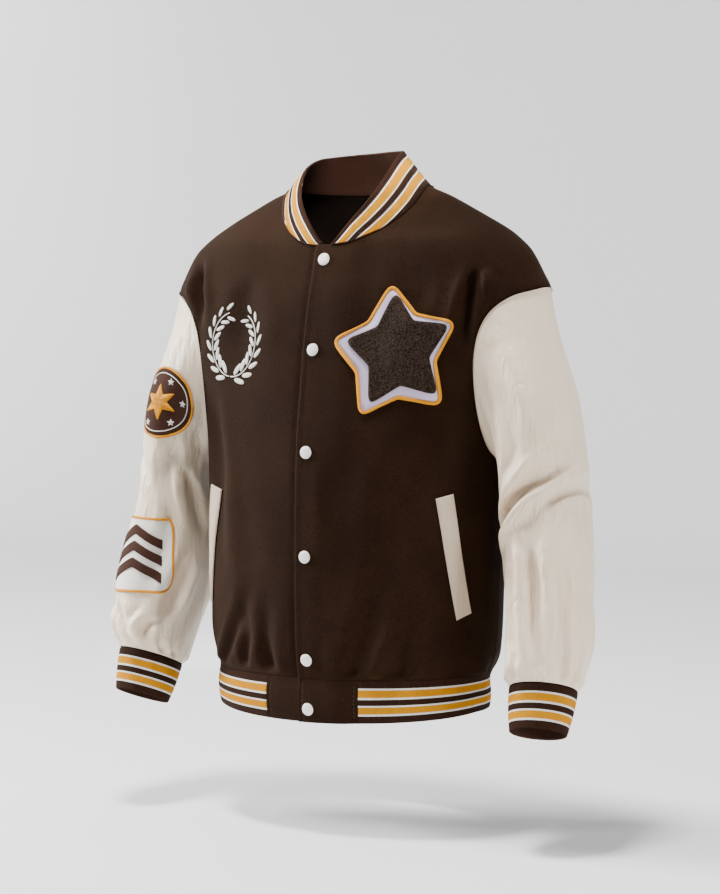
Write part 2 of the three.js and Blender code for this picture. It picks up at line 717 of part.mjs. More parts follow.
// Hem band
function hemPoint(angle, share, lift) {
  const isBack = Math.cos(angle) < 0;
  const level = hemLevel(Math.sin(angle), isBack, share);
  const across = bodySection(level).wide * Math.sin(angle);
  const point = bodyPoint(across, level, isBack);
  return point.addScaledVector(bodyNormal(point, isBack), lift);
}

function hemGeometry(angles, lift, wall, rows) {
  const outer = [];
  const inner = [];
  for (let r = 0; r <= rows; r += 1) {
    outer.push(angles.map((angle) => hemPoint(angle, r / rows, lift(angle))));
    inner.push(angles.map((angle) => hemPoint(angle, r / rows, lift(angle) - wall)));
  }
  return wallGeometry(outer, inner, false);
}

function angleAt(across) {
  return Math.asin(across / bodySection(hemTopLevel).wide);
}

function spaced(from, to, count) {
  return Array.from({ length: count + 1 }, (unused, i) => mix(from, to, i / count));
}

// Cuff: a tube that carries on from the sleeve's last section
function cuffGeometry(side) {
  const end = new THREE.Vector3(side * cuffEnd.x, cuffEnd.y, cuffEnd.z);
  const outer = [];
  for (let r = 0; r <= ribRows; r += 1) {
    const t = r / ribRows;
    const ring = [];
    for (let i = 0; i < cuffSides; i += 1) {
      const turn = (360 * i) / cuffSides;
      const angle = (turn * Math.PI) / 180;
      const top = sleeveSectionPoint(turn, 1, side, 0);
      const middle = sleeveSectionPoint(0, 1, side, 0).add(sleeveSectionPoint(180, 1, side, 0));
      middle.multiplyScalar(0.5);
      const arm = sleeveSectionPoint(0, 1, side, 0).sub(middle).normalize();
      const forward = sleeveSectionPoint(90, 1, side, 0).sub(middle).normalize();
      const down = end.clone().sub(middle).normalize();
      top.addScaledVector(down, 2 * seamGap);
      const low = end.clone().addScaledVector(arm, cuffEnd.wide * Math.cos(angle));
      low.addScaledVector(forward, cuffEnd.deep * Math.sin(angle));
      ring.push(top.lerp(low, t));
    }
    outer.push(ring);
  }
  const normals = gridNormals(outer, true, side < 0);
  return wallGeometry(outer, offsetGrid(outer, normals, -ribWall), true);
}

// Snaps
function snapGeometry() {
  const profile = [
    new THREE.Vector2(0, 0),
    new THREE.Vector2(snapRadius, 0),
    new THREE.Vector2(snapRadius, snapHeight * 0.35),
    new THREE.Vector2(snapRadius * 0.9, snapHeight * 0.68),
    new THREE.Vector2(snapRadius * 0.6, snapHeight * 0.93),
    new THREE.Vector2(0, snapHeight),
  ];
  return new THREE.LatheGeometry(profile, 16);
}

function addSnap(group, index) {
  const level = snapLevels[index];
  const point = bodyPoint(0, level, false);
  const normal = bodyNormal(point, false);
  const snap = new THREE.Mesh(snapGeometry(), materials.enamel);
  snap.name = `snap_${index + 1}`;
  snap.position.copy(point).addScaledVector(normal, overlapLift + seamGap + 0.1);
  snap.quaternion.setFromUnitVectors(new THREE.Vector3(0, 1, 0), normal);
  group.add(snap);
}

// Pocket welt: a strip on the front, moved out from the panel
function weltGeometry(panel) {
  const side = panel === "right_front" ? -1 : 1;
  const layer = (lift) => {
    const grid = [];
    for (let r = 0; r <= weltRows; r += 1) {
      const row = [];
      for (let c = 0; c <= weltColumns; c += 1) {
        const t = r / weltRows;
        const u = c / weltColumns;
        const x = mix(mix(welt.topIn[0], welt.endIn[0], t), mix(welt.topOut[0], welt.endOut[0], t), u);
        const z = mix(mix(welt.topIn[1], welt.endIn[1], t), mix(welt.topOut[1], welt.endOut[1], t), u);
        const point = bodyPoint(side * x, z, false);
        const relief = bodyRelief(point, panel);
        row.push(point.addScaledVector(bodyNormal(point, false), relief + lift));
      }
      grid.push(row);
    }
    return grid;
  };
  return wallGeometry(layer(weltHeight + clearance), layer(clearance), false);
}

// Outlines as a reach for each angle
function starReach(shape, angle) {
  const step = Math.PI / shape.points;
  const local = ((angle % (2 * step)) + 2 * step) % (2 * step);
  const fromPoint = Math.min(local, 2 * step - local);
  const tip = new THREE.Vector2(1, 0);
  const notch = new THREE.Vector2(Math.cos(step), Math.sin(step)).multiplyScalar(shape.inner);
  const edge = notch.clone().sub(tip);
  const ray = new THREE.Vector2(Math.cos(fromPoint), Math.sin(fromPoint));
  const reach = (tip.x * edge.y - tip.y * edge.x) / (ray.x * edge.y - ray.y * edge.x);
  return shape.radius * Math.min(reach, starBlunt);
}

function starAngles(shape, perEdge) {
  return spaced(0, 2 * Math.PI, 2 * shape.points * perEdge).slice(0, -1);
}

// A flat piece with an outline, laid on a surface; place(s, t, lift) gives a point of that surface
function patchGeometry(angles, reach, rings, place, low, high) {
  const layer = (heightAt) => {
    const positions = [place(0, 0, heightAt(0))];
    for (let k = 1; k <= rings; k += 1) {
      for (const angle of angles) {
        const r = (reach(angle) * k) / rings;
        positions.push(place(r * Math.cos(angle), r * Math.sin(angle), heightAt(k / rings)));
      }
    }
    return positions;
  };
  const tops = layer(high);
  const bottoms = layer(low);
  const count = angles.length;
  const offset = tops.length;
  const indices = [];
  const at = (k, i) => (k === 0 ? 0 : 1 + (k - 1) * count + (i % count));
  for (let i = 0; i < count; i += 1) {
    for (let k = 0; k < rings; k += 1) {
      const quad = [at(k, i), at(k + 1, i), at(k + 1, i + 1), at(k, i + 1)];
      const faces = [[quad[0], quad[1], quad[2]]];
      if (k > 0) faces.push([quad[0], quad[2], quad[3]]);
      for (const [a, b, c] of faces) {
        indices.push(a, b, c, offset + a, offset + c, offset + b);
      }
    }
    const a = at(rings, i);
    const b = at(rings, i + 1);
    indices.push(a, offset + a, offset + b, a, offset + b, b);
  }
  const positions = [...tops, ...bottoms].flatMap((p) => [p.x, p.y, p.z]);
  return facingOut(positions, indices);
}

// A raised line that follows an outline
function borderGeometry(angles, reach, width, place, low, high) {
  const ring = (extra, lift) =>
    angles.map((angle) => {
      const r = reach(angle) + extra;
      return place(r * Math.cos(angle), r * Math.sin(angle), lift);
    });
  const outer = [ring(0, low), ring(0, high), ring(width, high)];
  const inner = [ring(width / 2, low), ring(width / 2, mix(low, high, 0.5)), ring(width, low)];
  return wallGeometry(outer, inner, true);
}

function onChest(s, t, lift) {
  const lean = THREE.MathUtils.degToRad(chestStar.lean);
  const right = s * Math.cos(lean) - t * Math.sin(lean);
  const up = s * Math.sin(lean) + t * Math.cos(lean);
  const point = bodyPoint(chestStar.x + right * chestStar.unwrap, chestStar.z + up, false);
  const relief = bodyRelief(point, "left_front") + frontLift(point.x, true);
  return point.addScaledVector(bodyNormal(point, false), relief + lift);
}

// Walks from a patch's middle over the right sleeve, s to its right and t upwards, in millimetres
function onSleeve(patch, s, t, lift) {
  const steps = 5;
  let turn = patch.turn;
  let place = patch.at;
  const up = new THREE.Vector3();
  let normal = new THREE.Vector3();
  for (let i = 0; i <= steps; i += 1) {
    const point = sleevePoint(turn, place, -1, []);
    const perTurn = sleevePoint(turn + 1, place, -1, []).sub(point);
    const perPlace = sleevePoint(turn, place + 0.01, -1, []).sub(point).multiplyScalar(100);
    normal = perPlace.clone().cross(perTurn).normalize();
    up.set(0, 0, 1).addScaledVector(normal, -normal.z).normalize();
    if (i === steps) break;
    const move = up.clone().cross(normal).multiplyScalar(s / steps).addScaledVector(up, t / steps);
    const a = perTurn.lengthSq();
    const b = perTurn.dot(perPlace);
    const d = perPlace.lengthSq();
    const p = move.dot(perTurn);
    const q = move.dot(perPlace);
    turn += (p * d - q * b) / (a * d - b * b);
    place += (a * q - b * p) / (a * d - b * b);
  }
  return sleevePoint(turn, place, -1, rightSleeveFolds).addScaledVector(normal, lift);
}

function chestPieces() {
  const angles = starAngles(chestStar, 3).map((a) => a + Math.PI / 2);
  const star = (angle) => starReach(chestStar, angle - Math.PI / 2);
  const margin = (angle) => star(angle) + chestFelt.margin;
  const feltPlace = (s, t, lift) => onChest(s + chestFelt.shift, t - chestFelt.drop, lift);
  const feltTop = clearance + chestFelt.height;
  const pileLow = feltTop + layerGap;
  const pileHigh = (share) => pileLow + chestPileHeight * Math.sqrt(1 - 0.75 * share ** 6);
  return {
    chest_felt: patchGeometry(angles, margin, patchRings, feltPlace, () => clearance, () => feltTop),
    chest_pile: patchGeometry(angles, star, patchRings, onChest, () => pileLow, pileHigh),
    chest_border: borderGeometry(
      angles,
      (angle) => margin(angle) + seamGap,
      chestCord.width,
      feltPlace,
      clearance,
      clearance + chestCord.height,
    ),
  };
}

function sleevePieces() {
  const circle = spaced(0, 2 * Math.PI, 28).slice(0, -1);
  const onBadge = (s, t, lift) => onSleeve(badge, s, t, lift);
  const badgeTop = clearance + badge.height;
  const star = (angle) => starReach(badgeStar, angle);
  const box = (angle) => {
    const c = Math.abs(Math.cos(angle)) / lowerPatch.halfWidth;
    const s = Math.abs(Math.sin(angle)) / lowerPatch.halfHeight;
    return 1 / (c ** lowerPatch.square + s ** lowerPatch.square) ** (1 / lowerPatch.square);
  };
  const onLower = (s, t, lift) => onSleeve(lowerPatch, s, t, lift);
  const lowerTop = clearance + lowerPatch.height;
  const barsLow = lowerTop + clearance;
  const chevron = (lift) => {
    const rows = [];
    for (let r = 0; r <= 2; r += 1) {
      rows.push(
        spaced(-1, 1, 8).map((u) => {
          const t = lowerBars.rise * (0.5 - Math.abs(u)) + lowerBars.thick * (0.6 - r / 2);
          return onLower(u * lowerBars.halfWidth, t, lift);
        }),
      );
    }
    return rows;
  };
  return {
    badge_base: patchGeometry(
      circle,
      () => badge.radius,
      patchRings,
      onBadge,
      () => clearance,
      () => badgeTop,
    ),
    badge_star: patchGeometry(
      starAngles(badgeStar, 2),
      star,
      2,
      onBadge,
      () => badgeTop + clearance,
      () => badgeTop + clearance + badgeStar.height,
    ),
    lower_patch_base: patchGeometry(
      spaced(0, 2 * Math.PI, 32).slice(0, -1),
      box,
      patchRings + 1,
      onLower,
      () => clearance,
      () => lowerTop,
    ),
    lower_patch_bars: wallGeometry(chevron(barsLow + lowerBars.height), chevron(barsLow), false),
  };
}

// Materials
function cloth(color, roughness) {
  return new THREE.MeshStandardMaterial({ color, roughness, metalness: 0 });
}

const materials = {
  wool: cloth(0x3a261b, 0.95),
  leather: cloth(0xe9dfd3, 0.45),
  rib: cloth(0x4b3228, 0.9),
  enamel: cloth(0xebe9e1, 0.3),
  gold: cloth(0xe6a832, 0.8),
  felt: cloth(0xcdc6d4, 0.95),
  chenille: cloth(0x483728, 1),
};

function addPiece(group, name, geometry, material) {
  const mesh = new THREE.Mesh(geometry, material);
  mesh.name = name;
  group.add(mesh);
}

// Body
const leftFront = halfPanel("left_front");
const rightFront = halfPanel("right_front");
const leftBack = halfPanel("back");
const rightBack = mirrored(leftBack);
leftFront.shoulderFrom = neckColumns;
rightFront.shoulderFrom = neckColumns;
leftBack.shoulderFrom = backNeckColumns;
rightBack.shoulderFrom = backNeckColumns;

const leftSleeve = sleeveGrid(1, leftSleeveFolds);
const rightSleeve = sleeveGrid(-1, rightSleeveFolds);
const leftSleeveNormals = gridNormals(leftSleeve, true, false);
const rightSleeveNormals = gridNormals(rightSleeve, true, true);
fitArmhole(leftSleeve, leftSleeveNormals, leftFront, leftBack);
fitArmhole(rightSleeve, rightSleeveNormals, rightFront, rightBack);

const collar = collarGeometry({ left: leftFront, right: rightFront, back: leftBack, backRight: rightBack });
for (const half of [leftFront, rightFront]) trimEdges(half, -1);
for (const half of [leftBack, rightBack]) trimEdges(half, 1);

const jacket = new THREE.Group();
addPiece(jacket, "left_front", panelGeometry(leftFront), materials.wool);
addPiece(jacket, "right_front", panelGeometry(rightFront), materials.wool);
addPiece(jacket, "back", panelGeometry(joinedBack(rightBack, leftBack)), materials.wool);

const sleeveWall = (grid, normals) => wallGeometry(grid, offsetGrid(grid, normals, -leatherWall), true);
addPiece(jacket, "left_sleeve", sleeveWall(leftSleeve, leftSleeveNormals), materials.leather);
addPiece(jacket, "right_sleeve", sleeveWall(rightSleeve, rightSleeveNormals), materials.leather);
addPiece(jacket, "collar_rib", collar, materials.rib);
addPiece(jacket, "left_cuff", cuffGeometry(1), materials.rib);
addPiece(jacket, "right_cuff", cuffGeometry(-1), materials.rib);

// Hem
const tabAngle = angleAt(tabReach);
const ribStart = angleAt(tabReach + 2 * seamGap);
const ribAngles = spaced(ribStart, 2 * Math.PI - ribStart, hemSides);
const tabLift = (angle) => frontLift(bodySection(hemTopLevel).wide * Math.sin(angle), true);
addPiece(jacket, "hem_rib", hemGeometry(ribAngles, () => 0, ribWall, ribRows), materials.rib);
addPiece(
  jacket,
  "left_hem_tab",
  hemGeometry(spaced(angleAt(-overlapReach), tabAngle, tabSides), tabLift, woolWall, tabRows),
  materials.wool,
);
addPiece(
  jacket,
  "right_hem_tab",
  hemGeometry(spaced(-tabAngle, angleAt(overlapReach), tabSides), () => 0, woolWall, tabRows),
  materials.wool,
);

// Trim
addPiece(jacket, "left_pocket_welt", weltGeometry("left_front"), materials.leather);
addPiece(jacket, "right_pocket_welt", weltGeometry("right_front"), materials.leather);
snapLevels.forEach((level, index) => addSnap(jacket, index));
const chest = chestPieces();
addPiece(jacket, "chest_felt", chest.chest_felt, materials.felt);
addPiece(jacket, "chest_pile", chest.chest_pile, materials.chenille);
addPiece(jacket, "chest_border", chest.chest_border, materials.gold);
const patches = sleevePieces();
addPiece(jacket, "badge_base", patches.badge_base, materials.wool);
addPiece(jacket, "badge_star", patches.badge_star, materials.gold);
addPiece(jacket, "lower_patch_base", patches.lower_patch_base, materials.gold);
addPiece(jacket, "lower_patch_bars", patches.lower_patch_bars, materials.chenille);

export default jacket;
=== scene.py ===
import math
import bmesh
import bpy
import numpy as np
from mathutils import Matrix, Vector


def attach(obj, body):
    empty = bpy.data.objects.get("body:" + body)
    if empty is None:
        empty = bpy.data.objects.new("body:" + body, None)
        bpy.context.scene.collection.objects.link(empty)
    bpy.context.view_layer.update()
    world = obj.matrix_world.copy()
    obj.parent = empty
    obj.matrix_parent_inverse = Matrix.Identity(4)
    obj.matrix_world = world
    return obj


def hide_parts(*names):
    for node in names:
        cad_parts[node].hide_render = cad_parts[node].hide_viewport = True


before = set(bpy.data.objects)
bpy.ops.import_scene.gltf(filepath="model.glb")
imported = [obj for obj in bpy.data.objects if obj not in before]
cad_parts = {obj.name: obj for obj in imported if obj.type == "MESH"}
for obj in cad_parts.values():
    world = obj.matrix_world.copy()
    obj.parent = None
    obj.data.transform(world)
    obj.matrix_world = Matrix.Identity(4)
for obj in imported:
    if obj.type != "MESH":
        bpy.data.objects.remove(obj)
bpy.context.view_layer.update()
print("frame loaded")

# Forms of the jacket, in millimetres as in its source: +Z up, front towards -Y, wearer's left towards +X

bodyTable = {
    "level": [6, 0, -11, -27, -53, -67, -82, -113, -128, -160, -205, -260, -300, -340, -400, -470, -540,
              -580, -600, -612, -640, -680],
    "wide": [92, 101, 127, 159, 208, 227, 242, 260, 267, 265, 247, 226, 216, 211, 207, 205, 204, 202,
             196, 190, 191, 187],
    "seam": [-5, -5, -5, -5, -5, -5, -5, -5, -5, -5, -5, -6, -7, -9, -11, -13, -14, -17, -19, -20, -20,
             -20],
    "front": [14, 20, 32, 42, 65, 78, 84, 92, 97, 105, 114, 122, 128, 131, 133, 134, 133, 131, 128, 126,
              127, 124],
    "back": [62, 66, 71, 76, 84, 88, 92, 99, 101, 106, 110, 112, 112, 111, 110, 109, 107, 102, 94, 86,
             86, 83],
}
frontNeck = {
    "at": [0, 0.16, 0.3, 0.44, 0.61, 0.8, 0.93, 1],
    "across": [-15, 9, 30, 48, 70, 90, 99, 101],
    "level": [-74, -74, -72, -65.5, -52, -31, -11, 0],
}
backNeck = {"at": [0, 0.4, 0.75, 1], "across": [0, 42, 78, 101], "level": [-4, -3.5, -2, 0]}
shoulderLine = {"at": [0, 0.3, 0.55, 0.76, 0.92, 1], "level": [0, -27, -53, -82, -113, -128]}
frontArmhole = {
    "at": [0, 0.1, 0.2, 0.3, 0.4, 0.5, 0.6, 0.7, 0.8, 0.9, 1],
    "across": [211, 209, 204, 200, 197.5, 197, 199, 205, 217, 238, 267],
    "level": [-340, -337, -322, -298, -268, -238, -208, -181, -158, -140, -128],
}
backArmhole = {
    "at": [0, 0.1, 0.2, 0.35, 0.5, 0.65, 0.8, 0.9, 1],
    "across": [211, 209, 205, 203, 204, 209, 224, 243, 267],
    "level": [-340, -337, -320, -282, -240, -196, -158, -140, -128],
}
sleeveTable = {
    "at": [0, 0.06, 0.14, 0.22, 0.3, 0.4, 0.5, 0.6, 0.7, 0.8, 0.88, 0.94, 0.98, 1],
    "outX": [267, 273, 282, 292, 300, 309, 316, 323, 330, 336, 338, 335, 332, 330],
    "outZ": [-128, -155, -195, -238, -280, -330, -380, -428, -475, -523, -560, -587, -602, -609],
    "inX": [211, 215, 219, 220, 219, 219, 221, 226, 233, 238, 241, 243, 245, 246],
    "inZ": [-340, -338, -350, -373, -398, -430, -465, -500, -535, -566, -588, -602, -611, -617],
    "mid": [-8, -8, -7, -6, -5, -4, -6, -14, -25, -37, -46, -54, -56, -57],
    "deep": [68, 72, 78, 82, 83, 82, 79, 76, 73, 69, 64, 58, 49, 43],
    "tilt": [0, 0, 0, 0, 1, 3, 7, 11, 14, 16, 18, 20, 21, 21],
}
collarRim = {
    "at": [0, 0.09, 0.18, 0.27, 0.36, 0.45, 0.545, 0.636, 0.727, 0.818, 0.909, 1],
    "x": [9, 18, 29, 41, 52, 60, 64, 61, 52, 38, 20, 0],
    "y": [-84, -80, -75.5, -68.5, -59, -45, -22, 2, 18, 29, 36, 38],
    "z": [-70, -58, -44, -29, -12, 8, 32, 42.5, 45.5, 47, 48, 48],
}
cut = {
    "woolWall": 2.4, "leatherWall": 1.8, "ribWall": 3.0, "seamGap": 0.3, "armpit": -340, "hemTop": -612,
    "hemHeight": 55, "hemRiseAtBack": 5, "hemRiseToLeft": 4.5, "hemTrimAtSides": 9, "overlapReach": 15,
    "overlapFlat": 34, "overlapEase": 70, "overlapLift": 2.85, "tabReach": 67, "chestUnwrap": 0.45,
    "chestBow": 26, "collarRiseToLeft": 0.045, "collarBulge": 2.5, "turnStep": 1.15, "sleeveLength": 470,
}
density = {"panelAcross": 6, "panelUp": 5, "sleeveRings": 120, "sleeveTurns": 150, "band": 300, "cuff": 120}


def curveThrough(table, key, column, places):
    keys, values = np.array(table[key], float), np.array(table[column], float)
    if keys[-1] < keys[0]:
        keys, values = keys[::-1], values[::-1]
    last = len(keys) - 1
    after, before = np.minimum(np.arange(last + 1) + 1, last), np.maximum(np.arange(last + 1) - 1, 0)
    slopes = (values[after] - values[before]) / (keys[after] - keys[before])
    places = np.clip(places, keys[0], keys[-1])
    i = np.clip(np.searchsorted(keys, places) - 1, 0, last - 1)
    span = keys[i + 1] - keys[i]
    t = (places - keys[i]) / span
    t2, t3 = t * t, t * t * t
    return ((2 * t3 - 3 * t2 + 1) * values[i] + (t3 - 2 * t2 + t) * span * slopes[i]
            + (3 * t2 - 2 * t3) * values[i + 1] + (t3 - t2) * span * slopes[i + 1])


def ease(low, high, value):
    t = np.clip((np.asarray(value, float) - low) / (high - low), 0, 1)
    return t * t * (3 - 2 * t)


def unit(vectors):
    return vectors / np.maximum(np.linalg.norm(vectors, axis=-1, keepdims=True), 1e-9)


def bodySection(level):
    return [curveThrough(bodyTable, "level", name, level) for name in ("wide", "seam", "front", "back")]


def bodyPoints(across, level, isBack):
    across, level = np.broadcast_arrays(np.asarray(across, float), np.asarray(level, float))
    wide, seam, front, back = bodySection(level)
    share = np.clip(np.abs(across) / wide, 0, 1)
    reach = np.where(isBack, back - seam, -front - seam) * np.sqrt(1 - share ** 2)
    return np.stack([across, seam + reach, level], -1)


def bodyNormals(points, isBack):
    def value(x, y, z):
        wide, seam, front, back = bodySection(z)
        return (x / wide) ** 2 + ((y - seam) / np.where(isBack, back - seam, front + seam)) ** 2
    x, y, z = points[..., 0], points[..., 1], points[..., 2]
    step = 0.5
    slopes = [value(x + step, y, z) - value(x - step, y, z), value(x, y + step, z) - value(x, y - step, z),
              value(x, y, z + step) - value(x, y, z - step)]
    return unit(np.stack(slopes, -1))


def pathDistance(points, path):
    # nearest distance from each point to a path, and how far along it that is
    path = np.asarray(path, float)
    spans = len(path) - 1
    best, along = np.full(points.shape[:-1], 1e9), np.zeros(points.shape[:-1])
    for i in range(spans):
        run = path[i + 1] - path[i]
        t = np.clip(((points - path[i]) @ run) / (run @ run), 0, 1)
        distance = np.linalg.norm(points - path[i] - t[..., None] * run, axis=-1)
        closer = distance < best
        along = np.where(closer, (i + t) / spans, along)
        best = np.minimum(best, distance)
    return best, along


def foldHeight(points, path, wide, deep, fromSeam):
    # a soft trough with a low lip on each side where deep is negative, and a ridge where it is positive
    distance, along = pathDistance(points, path)
    start = 1 if fromSeam else ease(-0.05, 0.3, along)
    q = distance / (wide * (0.75 + 0.5 * along))
    fade = 1 - drape["tailFade"] * ease(0.55, 1, along)
    return deep * start * fade * (np.exp(-q ** 2) - drape["lip"] * np.exp(-((q - 1.9) ** 2) / 0.7))


def edgeDistances(points, closed):
    # millimetres from each point of a grid to the grid's four edges
    down = np.linalg.norm(np.diff(points, axis=0), axis=-1)
    across = np.linalg.norm(np.diff(points, axis=1), axis=-1)
    down = np.concatenate([np.zeros((1, points.shape[1])), np.cumsum(down, 0)], 0)
    across = np.concatenate([np.zeros((points.shape[0], 1)), np.cumsum(across, 1)], 1)
    edges = [down, down[-1:] - down]
    return edges if closed else edges + [across, across[:, -1:] - across]


def gridNormals(points, closed):
    down = np.gradient(points, axis=0)
    across = (np.roll(points, -1, 1) - np.roll(points, 1, 1)) if closed else np.gradient(points, axis=1)
    return unit(np.cross(across, down))


def withEdges(values):
    # more lines just inside both ends, for a rounded edge
    first, last = values[1] - values[0], values[-1] - values[-2]
    shares = (0.06, 0.2, 0.5)
    extra = [values[0] + first * s for s in shares] + [values[-1] - last * s for s in shares]
    return np.sort(np.concatenate([values, extra]))


def clothMesh(name, outer, normals, thick, closed, uv):
    # a wall of even thickness with rounded edges; the outside takes material 0 and the inside material 1
    radius = 0.5 * thick
    distance = np.minimum.reduce(edgeDistances(outer, closed))
    d = np.minimum(distance, radius)
    curl = (radius - np.sqrt(np.maximum(radius ** 2 - (radius - d) ** 2, 0)))[..., None]
    inner = outer - normals * (thick - curl)
    outer = outer - normals * curl
    rows, columns = outer.shape[:2]
    size = rows * columns
    spans = columns if closed else columns - 1
    r, c = np.meshgrid(np.arange(rows - 1), np.arange(spans), indexing="ij")
    n = (c + 1) % columns
    top, under = r * columns, (r + 1) * columns
    out = np.stack([top + c, top + n, under + n, under + c], -1).reshape(-1, 4)
    quads = [out, out[:, ::-1] + size]
    e, f = np.arange(spans), (np.arange(spans) + 1) % columns
    b = (rows - 1) * columns
    quads += [np.stack([e, e + size, f + size, f], -1),
              np.stack([b + e, b + f, b + f + size, b + e + size], -1)]
    if not closed:
        g = np.arange(rows - 1) * columns
        h = g + columns
        quads += [np.stack([g, h, h + size, g + size], -1),
                  np.stack([g + spans, g + spans + size, h + spans + size, h + spans], -1)]
    quads = np.concatenate(quads)
    points = np.concatenate([outer.reshape(-1, 3), inner.reshape(-1, 3)]) / 1000
    a, k, m = points[quads[:, 0]], points[quads[:, 1]], points[quads[:, 2]]
    z = points[quads[:, 3]]
    volume = np.einsum("ij,ij->", a, np.cross(k, m)) + np.einsum("ij,ij->", a, np.cross(m, z))
    if volume < 0:
        quads = quads[:, ::-1]
    mesh = bpy.data.meshes.new(name)
    mesh.from_pydata(points.tolist(), [], quads.tolist())
    flat = np.tile(uv.reshape(-1, 2), (2, 1)) / 1000
    layer = mesh.uv_layers.new(name="cloth")
    loops = np.zeros(len(mesh.loops), np.int32)
    mesh.loops.foreach_get("vertex_index", loops)
    values = flat[loops]
    if closed:
        # the closing column of faces carries on from the last column's place along the cloth
        around = uv[..., 0].max() / 1000 * columns / (columns - 1)
        faceLoops = values.reshape(-1, 4, 2)
        wraps = (faceLoops[..., 0].max(1) - faceLoops[..., 0].min(1)) > around / 2
        low = faceLoops[..., 0] < around / 2
        faceLoops[..., 0] += np.where(wraps[:, None] & low, around, 0)
        values = faceLoops.reshape(-1, 2)
    layer.data.foreach_set("uv", values.astype(np.float32).ravel())
    side = np.ones(len(quads), np.int32)
    side[:len(out)] = 0
    side[2 * len(out):] = 0
    mesh.polygons.foreach_set("material_index", side)
    mesh.polygons.foreach_set("use_smooth", np.ones(len(quads), bool))
    piece = bpy.data.objects.new(name, mesh)
    bpy.context.scene.collection.objects.link(piece)
    return piece


# Body panels

lowerShares = [0, 0.03, 0.075, 0.14, 0.22, 0.33, 0.47, 0.64, 0.82, 1]
armRows, neckColumns, backNeckColumns, shoulderColumns = 14, 7, 5, 8


def hemLevel(sideShare, isBack, share):
    wide, seam, front, back = bodySection(np.full(np.shape(sideShare), float(cut["hemTop"])))
    reach = np.where(isBack, back - seam, -front - seam) * np.sqrt(np.clip(1 - sideShare ** 2, 0, 1))
    backShare = (seam + reach + front) / (front + back)
    top = cut["hemTop"] + cut["hemRiseAtBack"] * backShare + cut["hemRiseToLeft"] * sideShare
    return top - share * (cut["hemHeight"] - cut["hemTrimAtSides"] * np.minimum(backShare * 2.4, 1))


def topEdge(column, isBack):
    neckCount = backNeckColumns if isBack else neckColumns
    table = backNeck if isBack else frontNeck
    neckAt = np.minimum(column / neckCount, 1)
    level = curveThrough(shoulderLine, "at", "level", (column - neckCount) / shoulderColumns)
    onNeck = column <= neckCount
    across = np.where(onNeck, curveThrough(table, "at", "across", neckAt), bodySection(level)[0])
    return across, np.where(onNeck, curveThrough(table, "at", "level", neckAt), level)


def panelPlan(isBack):
    columns = (backNeckColumns if isBack else neckColumns) + shoulderColumns
    u = withEdges(np.linspace(0, 1, columns * density["panelAcross"] + 1))[None, :]
    up = density["panelUp"]
    shares = withEdges(np.interp(np.linspace(0, 9, 9 * up + 1), np.arange(10), lowerShares))[:-4, None]
    climbs = 1 - (1 - withEdges(np.linspace(0, 1, armRows * up + 1))) ** 1.35
    climb = climbs[:, None]
    start = 0 if isBack else -cut["overlapReach"]
    armhole = backArmhole if isBack else frontArmhole
    sideAcross = curveThrough(armhole, "at", "across", climb)
    sideLevel = curveThrough(armhole, "at", "level", climb)
    topAcross, topLevel = topEdge(u * columns, isBack)
    tipAcross, tipLevel = topEdge(np.array([float(columns)]), isBack)
    middleTop = topEdge(np.array([0.0]), isBack)[1]
    unwrap = cut["chestUnwrap"]
    wrap = (math.pi / 2) * (1 - unwrap * ease(0, 0.45, climb))
    tipWrap = (math.pi / 2) * (1 - unwrap)
    bow = cut["chestBow"] * 4 * u * (1 - u) * np.sin(math.pi * climb ** 1.6)
    upper, lean = climb ** 1.5, u ** 1.5
    middleLevel = cut["armpit"] + (middleTop - cut["armpit"]) * (1 - (1 - climb) ** 1.15)
    across = start + (sideAcross - start) * np.sin(u * wrap) / np.sin(wrap) + bow
    tipShare = np.sin(u * tipWrap) / np.sin(tipWrap)
    across = across + upper * (topAcross - start - (tipAcross - start) * tipShare)
    level = middleLevel + (sideLevel - middleLevel) * lean
    level = level + upper * (topLevel - middleTop - (tipLevel - middleTop) * lean)
    return u, shares, start, across, level


def softWaves(points, size):
    # faint unevenness of hanging cloth
    x, y, z = points[..., 0], points[..., 1], points[..., 2]
    large = np.sin(x / 31 + 1.3 * np.sin(z / 83)) * np.sin(z / 67 + 0.9)
    return size * (large + 0.6 * np.sin(x / 17 + z / 44 + y / 50))


